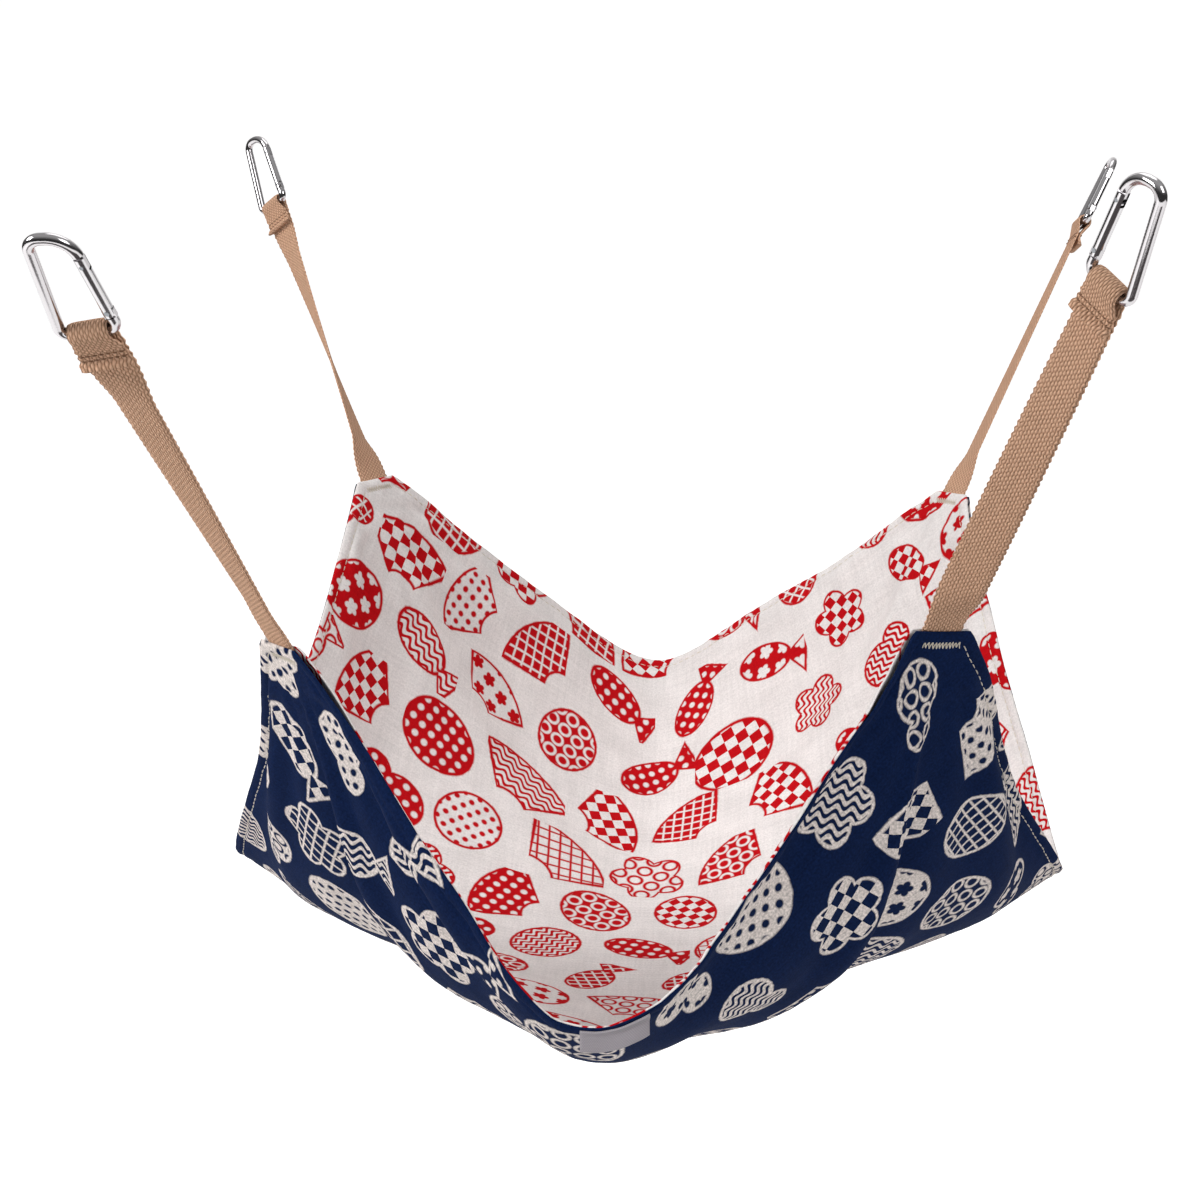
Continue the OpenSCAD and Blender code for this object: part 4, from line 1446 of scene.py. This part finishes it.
@dataclass
class EdgeLabel:
    """Bare folded label, sewn by its top to the outer side of the front edge, hanging free below."""

    width: float = 28.0
    reach: float = 9.2
    # Distance of its top from the cloth's edge, and depth of the part that is sewn flat to the cloth
    top: float = 0.5
    sewn: float = 1.6
    thick: float = 0.4
    proud: float = 0.45
    fold_radius: float = 0.45
    # Share of its own hang that even the sewn part has, and length over which the rest comes to hang
    sewn_hang: float = 0.35
    freeing: float = 3.0
    # Distances from the edge between which the cloth's slope is taken, and lean of a free hang to the front
    slope_from: float = 0.5
    slope_to: float = 4.0
    lean: float = 0.12
    # Height and length of its slow waves, and the length down over which they come
    wave: float = 0.35
    wave_length: float = 4.5
    waving: float = 6.0
    # Share of the fold's width that the sewn part has, and the length down over which it opens
    sewn_apart: float = 0.55
    opening: float = 4.0
    columns: int = 25
    rows: int = 14
    turn_rows: int = 7
    map_span: float = 300.0

    def _fall(self, sling: Sling, sheet: HungSheet, xs: Array) -> tuple[Array, Array, Array]:
        """Line down which the label hangs.

        Args:
            sling: the sling that it is sewn to.
            sheet: the settled sheet.
            xs: places across the label.

        Returns:
            Rows of places from the edge down, the distance down of each row, and the way that it faces.
        """
        edge = np.stack([xs, np.full_like(xs, -sheet.form.half[1])], -1)
        downs = np.linspace(self.top, self.reach, self.rows)
        rows = [sling.face_point(sheet, edge + np.array([0.0, self.top]), Face.OUTER, self.proud)]
        near, far = (sheet.at(edge + np.array([0.0, y])) for y in (self.slope_from, self.slope_to))
        slope = unit(far - near)
        plumb = unit(np.array([0.0, -self.lean, -1.0]))
        for above, down in zip(downs[:-1], downs[1:]):
            free = ease(np.array((down - self.sewn) / self.freeing))
            hang = unit(mix(slope, plumb, self.sewn_hang + (1 - self.sewn_hang) * free))
            rows.append(rows[-1] + hang * (down - above))
        places = np.stack(rows)
        face = unit(np.cross(np.gradient(places, axis=0), np.gradient(places, axis=1)))
        return places, downs, face * np.sign(-face[..., 1:2])

    def make(self, sling: Sling, sheet: HungSheet, material: Material) -> Piece:
        """Makes the label.

        Args:
            sling: the sling that it is sewn to.
            sheet: the settled sheet.
            material: its finish.

        Returns:
            The label, with its thickness applied.
        """
        xs = np.linspace(-self.width / 2, self.width / 2, self.columns)
        places, downs, face = self._fall(sling, sheet, xs)
        below = (downs - self.sewn)[:, None, None]
        apart = self.fold_radius * mix(self.sewn_apart, 1.0, ease(below / self.opening))
        wave = self.wave * np.sin(xs / self.wave_length)[None, :, None] * ease(below / self.waving)
        middle = places + face * (wave + self.fold_radius)
        bottom = unit(middle[-1] - middle[-2])
        turn = [middle[-1] + self.fold_radius * (bottom * math.sin(a) - face[-1] * math.cos(a))
                for a in np.linspace(0, math.pi, self.turn_rows)[1:-1]]
        grid = np.concatenate([middle - face * apart, np.stack(turn), (middle + face * apart)[::-1]])
        centre = grid[:, self.columns // 2]
        run = np.concatenate([[0.0], np.cumsum(np.linalg.norm(np.diff(centre, axis=0), axis=1))])
        uv = np.stack(np.broadcast_arrays(run[:, None], xs[None]), -1).reshape(-1, 2) / self.map_span
        faces = grid_faces(*grid.shape[:2]).tolist()
        piece = mesh_piece("woven_label", grid.reshape(-1, 3), faces, material, uv)
        wall = piece.modifiers.new("thickness", "SOLIDIFY")
        wall.thickness = self.thick * MM
        wall.offset = 0.0
        apply_modifiers(piece)
        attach(piece, BODY_SLING)
        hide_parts("label")
        return piece


def apply_modifiers(piece: Piece) -> None:
    """Applies all modifiers of a piece, in order.

    Args:
        piece: the piece.
    """
    bpy.ops.object.select_all(action="DESELECT")
    piece.select_set(True)
    bpy.context.view_layer.objects.active = piece
    for modifier in list(piece.modifiers):
        bpy.ops.object.modifier_apply(modifier=modifier.name)


@dataclass
class HookFinish:
    """Finishes of the snap hooks, whose solids are shown as they are."""

    rod: PolishedMetal = PolishedMetal("polished_aluminium_rod", "#c6c3c5", 0.10)
    gate: PolishedMetal = PolishedMetal("polished_aluminium_gate", "#cac8ca", 0.09)
    pin: PolishedMetal = PolishedMetal("steel_pins", "#a9adb2", 0.28, 0.3)
    spring: PolishedMetal = PolishedMetal("spring_wire", "#8f9398", 0.25, 0.2)

    def dress(self, nodes: dict[str, Piece]) -> None:
        """Gives every piece of every hook its finish.

        Args:
            nodes: the part's solids by name.
        """
        finishes = {"hook": self.rod.make(), "gate": self.gate.make(), "rivet": self.pin.make(),
                    "spring": self.spring.make()}
        finishes["latch_pin"] = finishes["rivet"]
        for corner in Corner:
            for piece, material in finishes.items():
                solid = nodes[f"{piece}_{corner.label}"]
                solid.data.materials.clear()
                solid.data.materials.append(material)
                LOG.info("finish on %s: %s", solid.name, material.name)


@dataclass(frozen=True)
class Lamp:
    """A square soft lamp, with its place and size in metres and its power in watts."""

    name: str
    place: tuple[float, float, float]
    size: float
    power: float


@dataclass
class Studio:
    """Camera at the photograph's viewing angle, pale floor and backdrop, and soft lights."""

    # Camera in the form's own frame
    target: tuple[float, float, float] = (0.0, 0.0, 185.5)
    azimuth: float = 3.72
    pitch: float = 12.94
    roll: float = -0.82
    distance: float = 1015.8
    slide: tuple[float, float] = (-20.9, 3.0)
    focal_px: float = 2033.0
    image_px: float = 1200.0
    sensor: float = 36.0
    floor_drop: float = 320.0
    # Floor in metres: its width and depth, where its middle lies, the wall's height and the bend to it
    floor_size: tuple[float, float] = (7.0, 5.4)
    floor_middle: float = 1.3
    wall_height: float = 6.0
    wall_bend: float = 2.0
    # Light added to the backdrop where it is seen or mirrored
    backdrop_glow: float = 0.6
    # Dark card in metres: its width and depth, how far in front of the middle it starts, and its lift
    card_size: tuple[float, float] = (1.3, 0.42)
    card_gap: float = 0.42
    card_lift: float = 0.01
    # Heights, as parts of a view's direction, at which the surround is dimmest and brightest, and how bright
    room_rise: tuple[float, float] = (0.1, 0.8)
    room_light: tuple[float, float] = (0.05, 0.5)
    lamp_aim: tuple[float, float, float] = (0.0, 0.0, 0.2)
    lamps: tuple[Lamp, ...] = (Lamp("key", (-2.0, -0.9, 1.3), 1.0, 41.0),
                               Lamp("fill", (1.5, -1.6, 1.6), 1.1, 23.0),
                               Lamp("top", (0.1, 0.5, 2.2), 1.4, 11.0))

    def camera(self, shift: Array) -> None:
        """Places the camera.

        Args:
            shift: from the form's own origin to the part's.
        """
        a, e, r = (math.radians(x) for x in (self.azimuth, self.pitch, self.roll))
        back = np.array([math.sin(a) * math.cos(e), -math.cos(a) * math.cos(e), math.sin(e)])
        right = np.array([math.cos(a), math.sin(a), 0.0])
        up = np.cross(back, right)
        side = right * math.cos(r) + up * math.sin(r)
        top = -right * math.sin(r) + up * math.cos(r)
        place = (np.array(self.target) + back * self.distance + side * self.slide[0]
                 + top * self.slide[1] + shift)
        data = bpy.data.cameras.new("camera")
        data.sensor_width = self.sensor
        data.lens = self.focal_px / self.image_px * self.sensor
        data.clip_start, data.clip_end = 0.05, 40.0
        made = bpy.data.objects.new("camera", data)
        bpy.context.scene.collection.objects.link(made)
        axes = np.stack([side, top, back], 1)
        rows = [[*row, p * MM] for row, p in zip(axes.tolist(), place.tolist())]
        made.matrix_world = Matrix(rows + [[0, 0, 0, 1]])
        bpy.context.scene.camera = made

    def _plane(self, name: str, size: tuple[float, float], middle: float, lift: float) -> Piece:
        """Lays a level plane on the floor.

        Args:
            name: its name.
            size: width and depth in metres.
            middle: Y of its middle in metres.
            lift: height above the floor in metres.

        Returns:
            The plane, with its place in its mesh.
        """
        bpy.ops.object.select_all(action="DESELECT")
        bpy.ops.mesh.primitive_plane_add(size=1.0)
        plane = bpy.context.object
        plane.name = name
        plane.scale = (*size, 1.0)
        plane.location = (0.0, middle, lift - self.floor_drop * MM)
        bpy.ops.object.transform_apply(location=True, scale=True)
        return plane

    @staticmethod
    def _paper(name: str, dark: str, light: str, grain: float, glow: float = 0.0) -> Material:
        """Builds dull paper with a fine grain, which may glow where the camera sees it, by way of metal too.

        Args:
            name: the material's name.
            dark: colour of the grain's dark side.
            light: colour of its light side.
            grain: how fine it is.
            glow: strength of the glow.

        Returns:
            The material.
        """
        material, nodes = new_material(name)
        place = nodes.add("TexCoord", out="Object")
        inputs = {"Base Color": nodes.tint(nodes.noise(place, grain), linear(dark), linear(light)),
                  "Roughness": 0.9}
        if glow:
            seen = nodes.rays("Is Camera Ray", "Is Glossy Ray", "Is Transmission Ray")
            inputs["Emission Color"] = linear(WHITE)
            inputs["Emission Strength"] = nodes.calc("MULTIPLY", seen, glow)
        nodes.surface(inputs)
        return material

    def backdrop(self) -> None:
        """Makes the floor and the wall behind as one sweep."""
        sweep = self._plane("backdrop", self.floor_size, self.floor_middle, 0.0)
        bpy.ops.object.mode_set(mode="EDIT")
        bpy.ops.mesh.select_mode(type="EDGE")
        bpy.ops.mesh.select_all(action="DESELECT")
        bpy.ops.object.mode_set(mode="OBJECT")
        for edge in sweep.data.edges:
            edge.select = all(sweep.data.vertices[v].co.y > 0 for v in edge.vertices)
        bpy.ops.object.mode_set(mode="EDIT")
        bpy.ops.mesh.extrude_region_move(TRANSFORM_OT_translate={"value": (0.0, 0.0, self.wall_height)})
        bpy.ops.object.mode_set(mode="OBJECT")
        bend = sweep.modifiers.new("sweep", "BEVEL")
        bend.width, bend.segments, bend.limit_method = self.wall_bend, 24, "ANGLE"
        apply_modifiers(sweep)
        bpy.ops.object.shade_smooth()
        paper = self._paper("backdrop_paper", "#f3f2f1", "#f7f7f6", grain=90.0, glow=self.backdrop_glow)
        sweep.data.materials.append(paper)

    def dark_card(self) -> None:
        """Lays a dark card low in front, which only polished metal mirrors, as a dark line along its rods."""
        middle = -self.card_size[1] / 2 - self.card_gap
        card = self._plane("dark_card", self.card_size, middle, self.card_lift)
        card.data.materials.append(self._paper("dark_card_paper", "#4f4a4b", "#5a5455", grain=60.0))
        card.visible_camera = card.visible_diffuse = card.visible_shadow = card.visible_transmission = False

    def lights(self) -> None:
        """Sets soft lamps and an even pale surround."""
        world = bpy.data.worlds.new("surround")
        bpy.context.scene.world = world
        world.use_nodes = True
        world.node_tree.nodes.clear()
        nodes = Nodes(world.node_tree)
        rise = nodes.split(nodes.add("TexCoord", out="Generated"))[2]
        # A dim room at eye level under a bright ceiling gives the metal its dark streaks
        room = nodes.ranged(rise, *self.room_rise, *self.room_light)
        strength = nodes.either(nodes.rays("Is Camera Ray", "Is Transmission Ray"), room, 1.0)
        background = nodes.add("Background", {0: linear(WHITE), 1: strength})
        add_node(nodes.tree, "OutputWorld", {0: background})
        for lamp in self.lamps:
            data = bpy.data.lights.new(lamp.name, "AREA")
            data.size, data.energy = lamp.size, lamp.power
            made = bpy.data.objects.new(lamp.name, data)
            bpy.context.scene.collection.objects.link(made)
            made.location = lamp.place
            aim = Vector(self.lamp_aim) - made.location
            made.rotation_euler = aim.to_track_quat("-Z", "Y").to_euler()
        bpy.context.scene.view_settings.view_transform = "Standard"


def joint_table(frame: dict[str, Any]) -> dict[str, tuple[Array, Array]]:
    """Places and axes of the part's joints.


    Returns:
        Joint name to its place in millimetres and its axis.
    """
    return {j["name"]: (np.array(j["pos_m"]) / MM, np.array(j["axis"])) for j in frame["joints"]}


def form_shift(sling: Sling, joints: dict[str, tuple[Array, Array]]) -> Array:
    """Finds the way from the form's own origin to the part's.

    Args:
        sling: the sling.
        joints: places and axes of the joints.

    Returns:
        The shift that puts the front left seam where its joint is.
    """
    fine_cols, fine_rows = 361, 425
    seam_to_hinge = 1.3
    fine = HungSheet(sling.form, sling.form.points(sling.form.flat_grid(fine_cols, fine_rows)))
    middle, _, out = fine.cut_frame(Corner.FRONT_LEFT)
    return joints["strap_front_left_seam"][0] - middle - out * seam_to_hinge


def main() -> None:
    """Builds and dresses every piece, then the studio."""
    logging.basicConfig(level=logging.INFO, format="%(name)s: %(message)s")
    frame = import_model()
    joints = joint_table(frame)
    sling = Sling()
    shift = form_shift(sling, joints)
    studio = Studio()
    studio.camera(shift)

    outer = PrintedCotton("outer_cotton_navy_print", "#0d1e42", "#ddd3ce",
                          seed=3.0, slub=0.10, fleck=0.3).make()
    lining = PrintedCotton("lining_cotton_red_print", "#e0dbd9", "#b80c15",
                           seed=8.0, slub=0.06, fleck=0.1).make()
    # Webbing and label tape, each given as the colour of its high places and its painted shade
    webbing = WovenTape("cotton_webbing", "#e2b799", "#8c5e42", rib=2.4, column=2.5, relief=1.0).make()
    tape = WovenTape("label_satin_tape", "#a19ba1", "#878187", rib=0.9, column=1.2, relief=0.2,
                     gloss=0.45, shine=0.4).make()
    cream_thread = SewingThread("cream_thread", "#e2d8c8").make()
    # The loop's thread is drawn dark brown: partly the thread's own colour, partly painted shade of the
    # stitch holes that its stitches also stand for
    loop_thread_with_hole_shade = SewingThread("loop_thread_with_hole_shade", "#8d6547").make()

    sheet = sling.settle(shift)
    pieces = [sling.layer(sheet, Face.OUTER, "outer_cloth", outer, "outer_panel"),
              sling.layer(sheet, Face.LINING, "lining_cloth", lining, "lining_panel")]
    pieces += [sling.stitching(sheet, Face.OUTER, "top_stitching_outer", cream_thread),
               sling.stitching(sheet, Face.LINING, "top_stitching_lining", cream_thread),
               EdgeLabel().make(sling, sheet, tape)]
    turns = {Corner.FRONT_LEFT: (-9.0, 28.0, 18.0), Corner.FRONT_RIGHT: (-34.0, -38.0),
             Corner.BACK_LEFT: (24.0, 66.0, 9.0), Corner.BACK_RIGHT: (-21.0, -10.0)}
    for corner in Corner:
        root = joints[f"strap_{corner.label}_seam"][0]
        bar, bar_way = joints[f"hook_{corner.label}_swing"]
        strap = Strap(corner, root, bar, bar_way, *turns[corner])
        pieces += [strap.webbing(sheet, webbing), strap.stitches(loop_thread_with_hole_shade)]
    for piece in pieces:
        LOG.info("piece %s: %d faces", piece.name, len(piece.data.polygons))
    HookFinish().dress(frame["nodes"])
    studio.backdrop()
    studio.dark_card()
    studio.lights()


if __name__ == "__main__":
    main()
